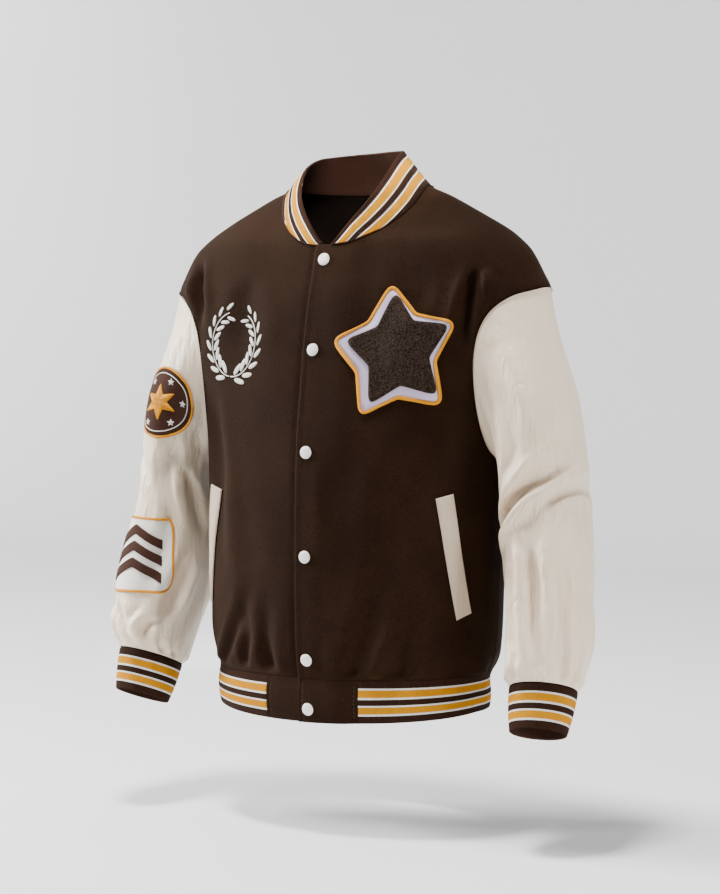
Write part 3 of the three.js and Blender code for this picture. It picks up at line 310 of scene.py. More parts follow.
bodyFolds = [
    # panel, path by distance across and level, width, depth, starts at a seam
    ("left_front", [(199, -104), (195, -140), (191, -176), (187, -222)], 10, -8, 0),
    ("left_front", [(206, -106), (209, -122), (207, -140)], 9, 4, 0),
    ("left_front", [(180, -240), (150, -330), (118, -420), (95, -520)], 26, -3.5, 0),
    ("left_front", [(150, -150), (120, -135), (80, -120)], 24, -2.5, 0),
    ("left_front", [(60, -604), (74, -560), (92, -500), (100, -430)], 13, -3.2, 1),
    ("left_front", [(118, -604), (128, -560), (134, -510)], 11, -3, 1),
    ("left_front", [(90, -604), (98, -572), (112, -540)], 9, 2.2, 1),
    ("left_front", [(30, -330), (46, -440), (40, -560)], 26, -2.2, 0),
    ("right_front", [(214, -92), (209, -120), (203, -150), (200, -190)], 11, -7, 0),
    ("right_front", [(120, -110), (112, -160), (108, -230)], 22, -3, 0),
    ("right_front", [(176, -250), (160, -330), (150, -400), (140, -470)], 18, -4, 0),
    ("right_front", [(150, -350), (128, -440), (112, -540)], 20, 2.6, 0),
    ("right_front", [(150, -606), (130, -570), (108, -540), (90, -500)], 10, -3.4, 1),
    ("right_front", [(108, -604), (98, -570), (92, -520)], 10, -2.8, 1),
    ("right_front", [(60, -604), (66, -560), (60, -500)], 12, -2.2, 1),
    ("back", [(150, -160), (135, -230), (118, -330)], 22, -5, 0),
    ("back", [(-152, -150), (-138, -240), (-124, -340)], 22, -5, 0),
    ("back", [(176, -190), (172, -250), (178, -310)], 13, -4, 0),
    ("back", [(-178, -190), (-174, -250), (-180, -310)], 13, -4, 0),
    ("back", [(-70, -150), (0, -168), (70, -152)], 24, -3, 0),
    ("back", [(60, -600), (84, -520), (104, -430)], 17, -4.5, 1),
    ("back", [(-66, -600), (-86, -530), (-94, -450)], 16, -4.5, 1),
    ("back", [(8, -604), (4, -540), (-8, -460)], 15, -3.5, 1),
    ("back", [(128, -602), (140, -550), (150, -480)], 13, -4, 1),
    ("back", [(-132, -602), (-142, -560), (-146, -500)], 13, -3.6, 1),
]
hemGathers = {"count": 17, "deep": 3.6, "reach": 66}
drape = {
    # how strongly the folds show, and where the cloth stays calm
    "body": 1.9, "sleeve": 1.3, "waves": 0.9, "rumple": 0.9, "lip": 0.3, "tailFade": 0.85,
    "calmAtSeams": 16,
    "hemSlack": 6, "flatAtSnaps": (4, 26),
}
edgeStitch = {"inset": 6.0, "sink": 0.9, "wide": 1.2, "pad": 0.9, "padShare": 0.34, "press": 1.4,
              "beside": 2.2, "besideWide": 3.0, "length": 3.4, "pitch": 5.2, "thick": 0.75}


def bodyRelief(points, panel, isBack):
    relief = softWaves(points, drape["waves"])
    side = -1 if panel == "right_front" else 1
    for where, path, wide, deep, fromSeam in bodyFolds:
        if where == panel:
            line = np.array(path, float)
            onBody = bodyPoints(side * line[:, 0], line[:, 1], isBack)
            relief = relief + drape["body"] * foldHeight(points, onBody, wide, deep, fromSeam)
    above = points[..., 2] - cut["hemTop"]
    turn = np.arctan2(points[..., 0], -points[..., 1] - 20)
    uneven = 0.6 + 0.5 * np.sin(5 * turn + 1) ** 2
    wave = np.cos(hemGathers["count"] * turn + 0.6 + 0.9 * np.sin(3 * turn)) * uneven
    reach = hemGathers["reach"] * (0.8 + 0.25 * np.sin(7 * turn))
    swell = ease(0, 12, above) * (1 - ease(0.25, 1, above / reach)) * (0.3 + 0.7 * np.abs(np.sin(turn)))
    return relief * ease(0, 12, above) + hemGathers["deep"] * wave * swell


def frontLift(across, panel):
    if panel != "left_front":
        return 0 * across
    return cut["overlapLift"] * (1 - ease(cut["overlapFlat"], cut["overlapEase"], across))


def halfPanel(panel):
    isBack = panel == "back"
    side = -1 if panel == "right_front" else 1
    u, shares, start, across, level = panelPlan(isBack)
    bend = np.sin(u * math.pi / 2)
    hemWide = float(bodySection(np.array(float(cut["hemTop"])))[0])
    lowTop = hemLevel(side * (start + (hemWide - start) * bend) / hemWide, isBack, 0) + cut["seamGap"]
    lowLevel = lowTop + (cut["armpit"] - lowTop) * shares
    wide = bodySection(lowLevel)[0]
    lowAcross = start + (wide - start) * bend
    across, level = np.concatenate([lowAcross, across]), np.concatenate([lowLevel, level])
    points = bodyPoints(side * across, level, isBack)
    normals = bodyNormals(points, isBack)
    edges = edgeDistances(points, False)
    toSeam = np.minimum(np.minimum(edges[1], edges[0] + drape["hemSlack"]), edges[3])
    relief = bodyRelief(points, panel, isBack) * ease(0, drape["calmAtSeams"], toSeam)
    if not isBack:
        relief = relief * ease(*drape["flatAtSnaps"], side * points[..., 0])
        if panel == "left_front":
            gap = (edges[2] - edgeStitch["inset"]) / edgeStitch["wide"]
            padded = (edges[2] - 0.5 * edgeStitch["inset"]) / (edgeStitch["padShare"] * edgeStitch["inset"])
            relief = relief + edgeStitch["pad"] * np.exp(-padded ** 2)
            relief = relief - edgeStitch["sink"] * np.exp(-gap ** 2)
        else:
            besideEdge = cut["overlapReach"] + edgeStitch["beside"]
            gap = (side * points[..., 0] - besideEdge) / edgeStitch["besideWide"]
            relief = relief - edgeStitch["press"] * np.exp(-gap ** 2)
    lift = frontLift(side * points[..., 0], panel)
    return points + normals * (relief + lift)[..., None], normals, np.stack([across, level], -1)


def mirrorX(values):
    return values * np.array([-1, 1, 1])


# Sleeves

leftSleeveFolds = [
    # path by turn from the outer edge towards the front and by place along, width, depth, starts at a seam
    ([(70, 0.05), (92, 0.16), (118, 0.32)], 13, 5, 1),
    ([(104, 0.02), (128, 0.1), (152, 0.24)], 11, -6, 1),
    ([(40, 0.03), (56, 0.12), (66, 0.26)], 15, 3, 1),
    ([(168, 0.46), (140, 0.42), (118, 0.405), (92, 0.4), (70, 0.402), (50, 0.41), (24, 0.415), (0, 0.41)],
     11, -11, 0),
    ([(150, 0.5), (122, 0.465), (96, 0.455), (70, 0.458), (44, 0.468)], 12, 5, 0),
    ([(132, 0.35), (104, 0.34), (76, 0.345), (50, 0.355)], 14, 3, 0),
    ([(98, 0.1), (90, 0.2), (85, 0.32)], 17, -5, 0),
    ([(64, 0.07), (58, 0.2), (52, 0.34)], 18, 4.5, 0),
    ([(24, 0.1), (18, 0.24), (14, 0.37)], 15, -4.5, 0),
    ([(64, 0.49), (36, 0.482), (8, 0.478), (-24, 0.47), (-50, 0.45)], 8, -8, 0),
    ([(104, 0.5), (96, 0.62), (102, 0.76), (96, 0.95)], 9, 6, 0),
    ([(124, 0.56), (118, 0.7), (124, 0.82), (112, 0.96)], 9, -5, 0),
    ([(80, 0.56), (76, 0.7), (82, 0.83), (74, 0.98)], 8, -6, 0),
    ([(58, 0.54), (62, 0.68), (54, 0.82), (58, 0.96)], 10, 5, 0),
    ([(40, 0.6), (36, 0.74), (42, 0.88), (36, 0.98)], 8, -4.5, 0),
    ([(130, 0.8), (112, 0.9), (96, 0.97)], 8, -4, 0),
    ([(225, 0.46), (262, 0.52), (305, 0.57)], 11, -7, 0),
    ([(232, 0.4), (270, 0.44), (310, 0.47)], 12, 4, 0),
    ([(250, 0.68), (276, 0.8), (284, 0.94)], 11, -5, 0),
    ([(238, 0.08), (214, 0.2), (204, 0.34)], 13, -5, 1),
    ([(300, 0.7), (316, 0.82), (310, 0.95)], 9, 4, 0),
]
rightSleeveFolds = [
    ([(96, 0.04), (118, 0.14), (140, 0.28)], 12, 5, 1),
    ([(116, 0.02), (138, 0.1), (160, 0.22)], 10, -6, 1),
    ([(128, 0.18), (119, 0.24), (108, 0.31), (100, 0.4)], 10, -7, 0),
    ([(138, 0.22), (146, 0.3), (158, 0.45), (162, 0.56)], 11, -8, 0),
    ([(124, 0.26), (130, 0.38), (140, 0.5)], 9, 6, 0),
    ([(112, 0.42), (118, 0.52), (120, 0.62)], 9, -5, 0),
    ([(20, 0.38), (58, 0.41), (98, 0.44)], 11, -4, 0),
    ([(150, 0.54), (147, 0.64), (140, 0.76), (132, 0.92)], 10, -7, 0),
    ([(160, 0.56), (160, 0.7), (152, 0.84)], 9, 5, 0),
    ([(132, 0.56), (130, 0.68), (122, 0.82)], 9, 5, 0),
    ([(60, 0.84), (78, 0.9), (92, 0.97)], 8, -4.5, 0),
    ([(40, 0.86), (52, 0.92), (60, 0.98)], 8, 4, 0),
    ([(132, 0.84), (118, 0.9), (108, 0.97)], 8, -5, 0),
    ([(118, 0.82), (104, 0.89), (96, 0.96)], 7, 4, 0),
    ([(228, 0.44), (264, 0.52), (304, 0.58)], 11, -7, 0),
    ([(236, 0.38), (272, 0.42), (312, 0.46)], 12, 4, 0),
    ([(246, 0.66), (272, 0.8), (290, 0.93)], 11, -5, 0),
    ([(240, 0.08), (216, 0.18), (206, 0.32)], 13, -5, 1),
    ([(306, 0.66), (320, 0.8), (312, 0.94)], 9, 4, 0),
]
cuffGathers = {"count": 14, "deep": 5.2, "reach": 0.17}


def armholePoints(turn, side):
    isBack = turn > 180
    climb = np.where(isBack, (turn - 180) / 180, 1 - turn / 180)
    across = np.where(isBack, curveThrough(backArmhole, "at", "across", climb),
                      curveThrough(frontArmhole, "at", "across", climb))
    level = np.where(isBack, curveThrough(backArmhole, "at", "level", climb),
                     curveThrough(frontArmhole, "at", "level", climb))
    return bodyPoints(side * across, level, isBack)


def sleeveRelief(turn, place, folds):
    spots = np.stack(np.broadcast_arrays(turn * cut["turnStep"], place * cut["sleeveLength"]), -1)
    whole = 360 * cut["turnStep"]
    rumple = np.sin(spots[..., 1] / 27 + 1.2 * np.sin(spots[..., 0] / 40))
    relief = drape["rumple"] * rumple * np.sin(spots[..., 0] * 6 * math.pi / whole)
    for path, wide, deep, fromSeam in folds:
        line = np.array(path, float) * (cut["turnStep"], cut["sleeveLength"])
        heights = [foldHeight(spots + (shift, 0), line, wide, deep, fromSeam)
                   for shift in (0, whole, -whole)]
        relief = relief + drape["sleeve"] * sum(heights)
    return relief


def sleeveSection(turn, place, side, swell):
    read = {name: curveThrough(sleeveTable, "at", name, place) for name in sleeveTable if name != "at"}
    angle = np.radians(turn)
    tilt = np.radians(read["tilt"])
    middle = [side * (read["outX"] + read["inX"]) / 2, read["mid"], (read["outZ"] + read["inZ"]) / 2]
    armAcross, armRise = (read["outX"] - read["inX"]) / 2, (read["outZ"] - read["inZ"]) / 2
    arm = np.stack([side * armAcross, 0 * place, armRise], -1)
    reach = np.linalg.norm(arm, axis=-1) + swell
    forward = np.stack([0 * place, -np.cos(tilt), np.sin(tilt)], -1)
    middle = np.stack(middle, -1) + unit(arm) * (reach * np.cos(angle))[..., None]
    return middle + forward * ((read["deep"] + swell) * np.sin(angle))[..., None]


def sleevePoints(turn, place, side, folds, withGathers=True):
    turn, place = np.broadcast_arrays(np.asarray(turn, float), np.asarray(place, float))
    relief = sleeveRelief(turn, place, folds) if folds else 0 * turn
    relief = relief * ease(0, 0.05, place) * (1 - ease(0.94, 1, place))
    if withGathers:
        spin = np.radians(turn)
        uneven = 0.65 + 0.45 * np.sin(3 * spin + 0.7)
        wave = np.cos(cuffGathers["count"] * spin + 0.8 * np.sin(2 * spin)) * uneven
        low = 1 - cuffGathers["reach"] * (0.8 + 0.3 * np.sin(4 * spin))
        rise = np.clip((place - low) / (0.965 - low), 0, 1)
        relief = relief + cuffGathers["deep"] * wave * rise ** 1.5 * (1 - ease(0.965, 1, place))
    section = sleeveSection(turn, place, side, relief)
    hold = (1 - ease(0, 0.26, place))[..., None]
    return section + (armholePoints(turn, side) - section) * hold


def sleeveGrid(side, folds):
    climbs = 1 - (1 - np.linspace(0, 1, density["sleeveTurns"] // 2 + 1)) ** 1.35
    turn = np.concatenate([180 * (1 - climbs[:0:-1]), 180 + 180 * climbs[:-1]])[None, :]
    t = withEdges(np.linspace(0, 1, density["sleeveRings"] + 1))
    place = (t - 0.035 * np.sin(2 * math.pi * t))[:, None]
    points = sleevePoints(turn, place, side, folds)
    run = points[4] - points[0]
    points[0] = points[0] + 0.5 * unit(run)
    along = edgeDistances(points, True)[0]
    around = np.broadcast_to(turn * cut["turnStep"], along.shape)
    return points, np.stack([around, along], -1)

# Shaders: one class wraps a socket, so that shader maths reads as plain expressions


class Wire:
    def __init__(self, tree, source=None):
        self.tree = tree
        self.source = source

    def add(self, kind, settings=None, inputs=None, output=0):
        node = self.tree.nodes.new(kind)
        for name, value in (settings or {}).items():
            if name == "stops":
                for i, (place, color) in enumerate(value):
                    stop = node.color_ramp.elements[i] if i < 2 else node.color_ramp.elements.new(place)
                    stop.position, stop.color = place, (*color, 1)
            elif name == "interpolation" and kind == "ShaderNodeValToRGB":
                node.color_ramp.interpolation = value
            else:
                setattr(node, name, value)
        for name, value in (inputs or {}).items():
            if isinstance(value, Wire):
                self.tree.links.new(value.source, node.inputs[name])
            else:
                node.inputs[name].default_value = value
        return Wire(self.tree, node.outputs[output])

    def maths(self, operation, *others):
        return self.add("ShaderNodeMath", {"operation": operation}, dict(enumerate((self, *others))))

    def __add__(self, other):
        return self.maths("ADD", other)

    def __sub__(self, other):
        return self.maths("SUBTRACT", other)

    def __rsub__(self, other):
        return self.add("ShaderNodeMath", {"operation": "SUBTRACT"}, {0: other, 1: self})

    def __mul__(self, other):
        return self.maths("MULTIPLY", other)

    def __truediv__(self, other):
        return self.maths("DIVIDE", other)

    __radd__ = __add__
    __rmul__ = __mul__


def mixColors(share, first, second):
    wire = share if isinstance(share, Wire) else first
    return wire.add("ShaderNodeMix", {"data_type": "RGBA"}, {0: share, 6: first, 7: second}, 2)


def noiseOn(place, scale, detail=2.0, rough=0.5):
    return place.add("ShaderNodeTexNoise", None,
                     {"Vector": place, "Scale": scale, "Detail": detail, "Roughness": rough})


def stretched(place, factors):
    return place.add("ShaderNodeMapping", None, {"Vector": place, "Scale": factors})


def softStep(value, low, high):
    return value.add("ShaderNodeMapRange", {"interpolation_type": "SMOOTHSTEP"},
                     {"Value": value, "From Min": low, "From Max": high, "To Min": 0.0, "To Max": 1.0})


def finish(name, make, constants):
    # make(objectPlace, clothPlace) gives colour, roughness, bump height and the bump's depth in metres
    material = bpy.data.materials.new(name)
    material.use_nodes = True
    tree = material.node_tree
    tree.nodes.clear()
    shader = tree.nodes.new("ShaderNodeBsdfPrincipled")
    output = tree.nodes.new("ShaderNodeOutputMaterial")
    tree.links.new(shader.outputs[0], output.inputs[0])
    start = Wire(tree)
    objectPlace = start.add("ShaderNodeTexCoord", output="Object")
    clothPlace = start.add("ShaderNodeUVMap", {"uv_map": "cloth"})
    color, roughness, height, depth = make(objectPlace, clothPlace)
    for socket, value in (("Base Color", color), ("Roughness", roughness)):
        if isinstance(value, Wire):
            tree.links.new(value.source, shader.inputs[socket])
        else:
            shader.inputs[socket].default_value = value
    bump = start.add("ShaderNodeBump", None, {"Height": height, "Strength": 1.0, "Distance": depth})
    tree.links.new(bump.source, shader.inputs["Normal"])
    for socket, value in constants.items():
        shader.inputs[socket].default_value = value
    material.diffuse_color = (0.5, 0.5, 0.5, 1)
    return material


palette = {
    "wool": (0.0125, 0.0048, 0.0014), "woolLight": (0.0245, 0.0102, 0.0034),
    "woolDeep": (0.0058, 0.0021, 0.0006),
    "rib": (0.026, 0.0105, 0.0052), "gold": (0.57, 0.235, 0.0012), "cord": (0.78, 0.31, 0.0006),
    # the darker cord tone is painted shade for the troughs between satin stitches
    "cordInPaintedShade": (0.46, 0.14, 0.0004),
    "white": (0.8, 0.77, 0.7), "leather": (0.82, 0.67, 0.50), "leatherWarm": (0.7, 0.54, 0.37),
    # the two welt tones below are the cream sleeve leather made darker: painted shade on the welts; the
    # inner rib tone beside them is the rib brown made lighter: painted light
    "welt": (0.56, 0.44, 0.32), "weltWarmWithPaintedShade": (0.46, 0.35, 0.24), "ribBrownWithPaintedLight": (0.055, 0.026, 0.016),
    "lavender": (0.58, 0.49, 0.64), "lining": (0.0042, 0.0024, 0.0017), "enamel": (0.83, 0.81, 0.75),
    "pile": (0.034, 0.019, 0.0115), "pileTip": (0.075, 0.045, 0.028), "badge": (0.045, 0.018, 0.0115),
    "lavenderDeep": (0.47, 0.4, 0.54), "whiteDeep": (0.62, 0.58, 0.5), "brownThread": (0.034, 0.017, 0.01),
    "snapRim": (0.34, 0.33, 0.31), "black": (0.0, 0.0, 0.0),
}
sizes = {"ribPitch": 0.0021, "stitchRow": 0.0011, "grain": 620.0, "pileLoop": 480.0}


def fourth(color):
    return (*color, 1)


def woolLook(place, cloth):
    fibres = noiseOn(place, 1500.0, 3.0, 0.65)
    felted = noiseOn(place, 430.0, 2.0)
    brushed = noiseOn(stretched(place, (520.0, 520.0, 60.0)), 1.0, 2.0)
    cloudy = noiseOn(place, 14.0, 3.0)
    base = mixColors(softStep(cloudy, 0.3, 0.75) * 0.45, fourth(palette["wool"]),
                     fourth(palette["woolLight"]))
    base = mixColors(softStep(fibres, 0.5, 0.78) * 0.6, base, fourth(palette["woolLight"]))
    base = mixColors(softStep(felted, 0.56, 0.32) * 0.4, base, fourth(palette["woolDeep"]))
    base = mixColors(softStep(felted, 0.52, 0.75) * 0.35, base, fourth(palette["woolLight"]))
    height = fibres * 0.5 + felted * 0.8 + brushed * 0.4
    return base, 0.92 - fibres * 0.1, height, 0.0008


def leatherLook(color, warmer):
    def make(place, cloth):
        grain = place.add("ShaderNodeTexVoronoi", {"feature": "DISTANCE_TO_EDGE"},
                          {"Vector": place, "Scale": sizes["grain"]})
        pores = noiseOn(place, 1700.0, 2.0)
        rumple = noiseOn(place, 34.0, 4.0, 0.55)
        drawn = noiseOn(stretched(place, (60.0, 60.0, 22.0)), 1.0, 3.0)
        cloudy = noiseOn(place, 9.0, 2.0)
        base = mixColors(softStep(cloudy, 0.35, 0.8) * 0.3, fourth(color), fourth(warmer))
        base = mixColors(softStep(grain, 0.07, 0.0) * 0.12, base, fourth(warmer))
        creased = noiseOn(stretched(place, (46.0, 46.0, 8.0)), 1.0, 3.0, 0.55)
        # thin valleys where the next noise crosses its middle, only in places
        bending = noiseOn(stretched(place, (30.0, 30.0, 9.0)), 1.0, 2.0)
        valleys = softStep((bending - 0.5).maths("ABSOLUTE"), 0.0, 0.045)
        patchy = softStep(cloudy, 0.42, 0.6)
        # along the same thin valleys, only in places, the colour is a little warmer and darker
        base = mixColors((1 - valleys) * patchy * 0.1, base, fourth(warmer))
        height = softStep(grain, 0.0, 0.16) * 0.04 + pores * 0.025 + rumple * 0.7 + drawn * 0.7
        height = height + creased * 2.2 + valleys * patchy * 0.22
        return base, 0.25 + cloudy * 0.16 + grain * 0.1, height, 0.0034
    return make


def liningLook(place, cloth):
    weave = noiseOn(place, 900.0, 2.0)
    base = mixColors(weave * 0.5, fourth(palette["lining"]), fourth(palette["woolDeep"]))
    return base, 0.8, weave, 0.0002


def stripeLook(stops, length):
    def make(place, cloth):
        split = cloth.add("ShaderNodeSeparateXYZ", None, {0: cloth})
        down = Wire(cloth.tree, split.source.node.outputs[1])
        ribs = (split * (2 * math.pi / sizes["ribPitch"])).maths("SINE")
        knit = (down * (2 * math.pi / sizes["stitchRow"]) + ribs * 1.2).maths("SINE")
        yarn = noiseOn(place, 1300.0, 2.0)
        share = down / (length / 1000) + knit * 0.0014
        band = share.add("ShaderNodeValToRGB", {"interpolation": "CONSTANT", "stops": stops}, {0: share})
        black = fourth(palette["black"])
        fuzz = mixColors(softStep(yarn, 0.35, 0.8) * 0.3, band, black)
        # where the ribs dip, the colour is mixed towards half black: painted shade in the rib troughs
        base = mixColors(softStep(ribs, 0.1, -1.0) * 0.3, fuzz, mixColors(0.5, band, black))
        return base, 0.88 - yarn * 0.1, ribs * 0.5 + knit * 0.22 + yarn * 0.3, 0.00042
    return make


def bandStops(bands, length):
    # bands lists colour and height in millimetres, from the top down
    stops, place = [], 0.0
    for name, height in bands:
        stops.append((place / length, palette[name]))
        place += height
    return stops


bandStripes = [("rib", 10), ("white", 2.3), ("gold", 9.2), ("white", 2.6), ("rib", 7.3), ("white", 2.2),
               ("gold", 8.8), ("white", 2.6), ("rib", 10)]
collarStripes = [("rib", 6.5), ("white", 1.5), ("gold", 8.5), ("white", 1.5), ("rib", 6.5),
                 ("white", 1.5), ("gold", 8.5), ("white", 1.5), ("rib", 34)]


# the inside of the collar, band and cuffs takes the rib brown made lighter than the outer rib: painted
# light
plainStripesWithPaintedLight = [(0.0, palette["ribBrownWithPaintedLight"]), (0.9, palette["ribBrownWithPaintedLight"])]


def pileLook(place, cloth):
    loops = place.add("ShaderNodeTexVoronoi", None, {"Vector": place, "Scale": sizes["pileLoop"]})
    tuft = noiseOn(place, 700.0, 2.0)
    # the gaps between the loops take the darker wool tone: painted shade between the loops
    base = mixColors(softStep(loops, 0.75, 0.15), fourth(palette["woolDeep"]), fourth(palette["pile"]))
    base = mixColors(softStep(tuft, 0.5, 0.75) * 0.6, base, fourth(palette["pileTip"]))
    return base, 0.95, (1 - loops) * 0.8 + tuft * 0.3, 0.0016


def feltLook(color, deeper):
    def make(place, cloth):
        fibres = noiseOn(place, 1100.0, 3.0, 0.65)
        cloudy = noiseOn(place, 60.0, 2.0)
        base = mixColors(softStep(fibres, 0.35, 0.75) * 0.35 + cloudy * 0.1, fourth(color), fourth(deeper))
        return base, 0.92, fibres + cloudy * 0.5, 0.0005
    return make


def cordLook(place, cloth):
    split = cloth.add("ShaderNodeSeparateXYZ", None, {0: cloth})
    down = Wire(cloth.tree, split.source.node.outputs[1])
    satin = ((split + down * 0.35) * (2 * math.pi / 0.0011)).maths("SINE")
    yarn = noiseOn(place, 900.0, 2.0)
    # where the satin stitches dip, the colour goes towards the darker cord tone: painted shade
    base = mixColors(softStep(satin, 0.2, -1.0) * 0.45, fourth(palette["cord"]),
                     fourth(palette["cordInPaintedShade"]))
    return base, 0.5 + yarn * 0.15, satin * 0.6 + yarn * 0.3, 0.0004


def threadLook(color):
    def make(place, cloth):
        spun = place.add("ShaderNodeSeparateXYZ", None, {0: stretched(place, (1.0, 0.4, 1.2))})
        twist = (spun * 9000.0).maths("SINE")
        shaded = fourth(tuple(c * 0.55 for c in color))
        return mixColors(softStep(twist, 0.3, -1.0) * 0.25, fourth(color), shaded), 0.6, twist, 0.00015
    return make


def enamelLook(place, cloth):
    scuff = noiseOn(place, 220.0, 3.0)
    base = mixColors(softStep(scuff, 0.5, 0.8) * 0.15, fourth(palette["enamel"]),
                     fourth(palette["leatherWarm"]))
    return base, 0.24 + scuff * 0.16, scuff, 0.00006


def rimLook(place, cloth):
    brushed = noiseOn(place, 700.0, 2.0)
    return fourth(palette["snapRim"]), 0.3 + brushed * 0.15, brushed, 0.00005


looks = {
    "wool": finish("napped wool", woolLook, {"Sheen Weight": 0.025, "Sheen Roughness": 0.4,
                                             "Specular IOR Level": 0.07,
                                             "Sheen Tint": fourth((0.62, 0.45, 0.33))}),
    "leather": finish("cream leather", leatherLook(palette["leather"], palette["leatherWarm"]),
                      {"Specular IOR Level": 0.55}),
    "lining": finish("dark lining", liningLook, {"Specular IOR Level": 0.06}),
    "band": finish("striped rib", stripeLook(bandStops(bandStripes, 55), 55), {"Specular IOR Level": 0.06}),
    "collar": finish("striped collar rib", stripeLook(bandStops(collarStripes, 70), 70),
                     {"Specular IOR Level": 0.06}),
    # painted light: the inside rib is lighter than the outer rib
    "ribInside": finish("plain rib with painted light", stripeLook(plainStripesWithPaintedLight, 55), {"Specular IOR Level": 0.06}),
    # the welt leather is the cream leather darkened: painted shade
    "welt": finish("welt leather with painted shade", leatherLook(palette["welt"], palette["weltWarmWithPaintedShade"]),
                   {"Specular IOR Level": 0.4}),
    "pile": finish("looped pile", pileLook, {"Sheen Weight": 0.06, "Specular IOR Level": 0.1}),
    "lavender": finish("pale felt", feltLook(palette["lavender"], palette["lavenderDeep"]),
                       {"Specular IOR Level": 0.15}),
    "brownFelt": finish("brown felt", feltLook(palette["badge"], palette["wool"]),
                        {"Specular IOR Level": 0.15}),
    "whiteFelt": finish("white felt", feltLook(palette["white"], palette["whiteDeep"]),
                        {"Specular IOR Level": 0.15}),
    "cord": finish("gold cord", cordLook, {"Specular IOR Level": 0.14}),
    "whiteThread": finish("white thread", threadLook(palette["white"]), {"Specular IOR Level": 0.4}),
    "brownThread": finish("brown thread", threadLook(palette["brownThread"]), {"Specular IOR Level": 0.4}),
    "creamThread": finish("cream thread", threadLook(palette["leatherWarm"]), {"Specular IOR Level": 0.4}),
    "enamel": finish("off-white enamel", enamelLook, {"Coat Weight": 0.3, "Coat Roughness": 0.15}),
    "snapRim": finish("pale metal", rimLook, {"Metallic": 1.0}),
}
print("finishes made")


def dress(piece, slotName, looksUsed, *nodes):
    for look in looksUsed:
        piece.data.materials.append(looks[look])
    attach(piece, "root")
    if nodes:
        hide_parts(*nodes)
    return piece

# Panels and sleeves

panels = {}
for panel in ("left_front", "right_front", "back"):
    points, normals, plan = halfPanel(panel)
    if panel == "back":
        points = np.concatenate([mirrorX(points)[:, :0:-1], points], 1)
        normals = np.concatenate([mirrorX(normals)[:, :0:-1], normals], 1)
        plan = np.concatenate([(plan * (-1, 1))[:, :0:-1], plan], 1)
        edges = edgeDistances(points, False)
        toSeam = np.minimum.reduce([edges[0] + drape["hemSlack"], *edges[1:]])
        flat = bodyPoints(plan[..., 0], plan[..., 1], True)
        relief = bodyRelief(flat, "back", True) * ease(0, drape["calmAtSeams"], toSeam)
        points = flat + bodyNormals(flat, True) * relief[..., None]
    panels[panel] = clothMesh(panel + "_cloth", points, normals, cut["woolWall"], False, plan)
    dress(panels[panel], "melton", ("wool", "lining"), panel)
print("body panels made")

sleeves = {}
for side, name, folds in ((1, "left_sleeve", leftSleeveFolds), (-1, "right_sleeve", rightSleeveFolds)):
    points, plan = sleeveGrid(side, folds)
    normals = gridNormals(points, True) * (1 if side > 0 else -1)
    if np.mean((points - points.mean(1, keepdims=True)) * normals) < 0:
        normals = -normals
    sleeves[name] = clothMesh(name + "_leather", points, normals, cut["leatherWall"], True, plan)
    dress(sleeves[name], "sleeve_leather", ("leather", "lining"), name)
print("sleeves made")

# Collar, hem band, tabs and cuffs

ribForm = {"collarAlong": 14, "collarUp": 16, "bandUp": 14, "hemSwell": 1.2, "cuffSwell": 1.2,
           "rimRoll": 0.8, "rollInset": 2.6, "rollWide": 1.6, "stripeSpread": 0.22, "spreadAt": 0.27,
           "spreadWide": 0.12, "underTab": 0.9, "tabSwell": 0.5, "tabColumns": 60, "cuffGap": 0.6,
           "cuffReach": 38.5}


def neckBase(station, side):
    # stations 0 to 6 run up the front neckline, 6 to 11 round to the middle of the back
    onFront = station <= 6
    frontAt, backAt = np.clip((station + 1) / 7, 0, 1), np.clip((11 - station) / 5, 0, 1)
    across = np.where(onFront, curveThrough(frontNeck, "at", "across", frontAt),
                      curveThrough(backNeck, "at", "across", backAt))
    level = np.where(onFront, curveThrough(frontNeck, "at", "level", frontAt),
                     curveThrough(backNeck, "at", "level", backAt))
    base = np.where(onFront[..., None], bodyPoints(side * across, level, False),
                    bodyPoints(side * across, level, True))
    normal = np.where(onFront[..., None], bodyNormals(base, False), bodyNormals(base, True))
    lift = frontLift(across, "left_front") if side > 0 else 0 * across
    return base + normal * np.where(onFront, lift, 0)[..., None]


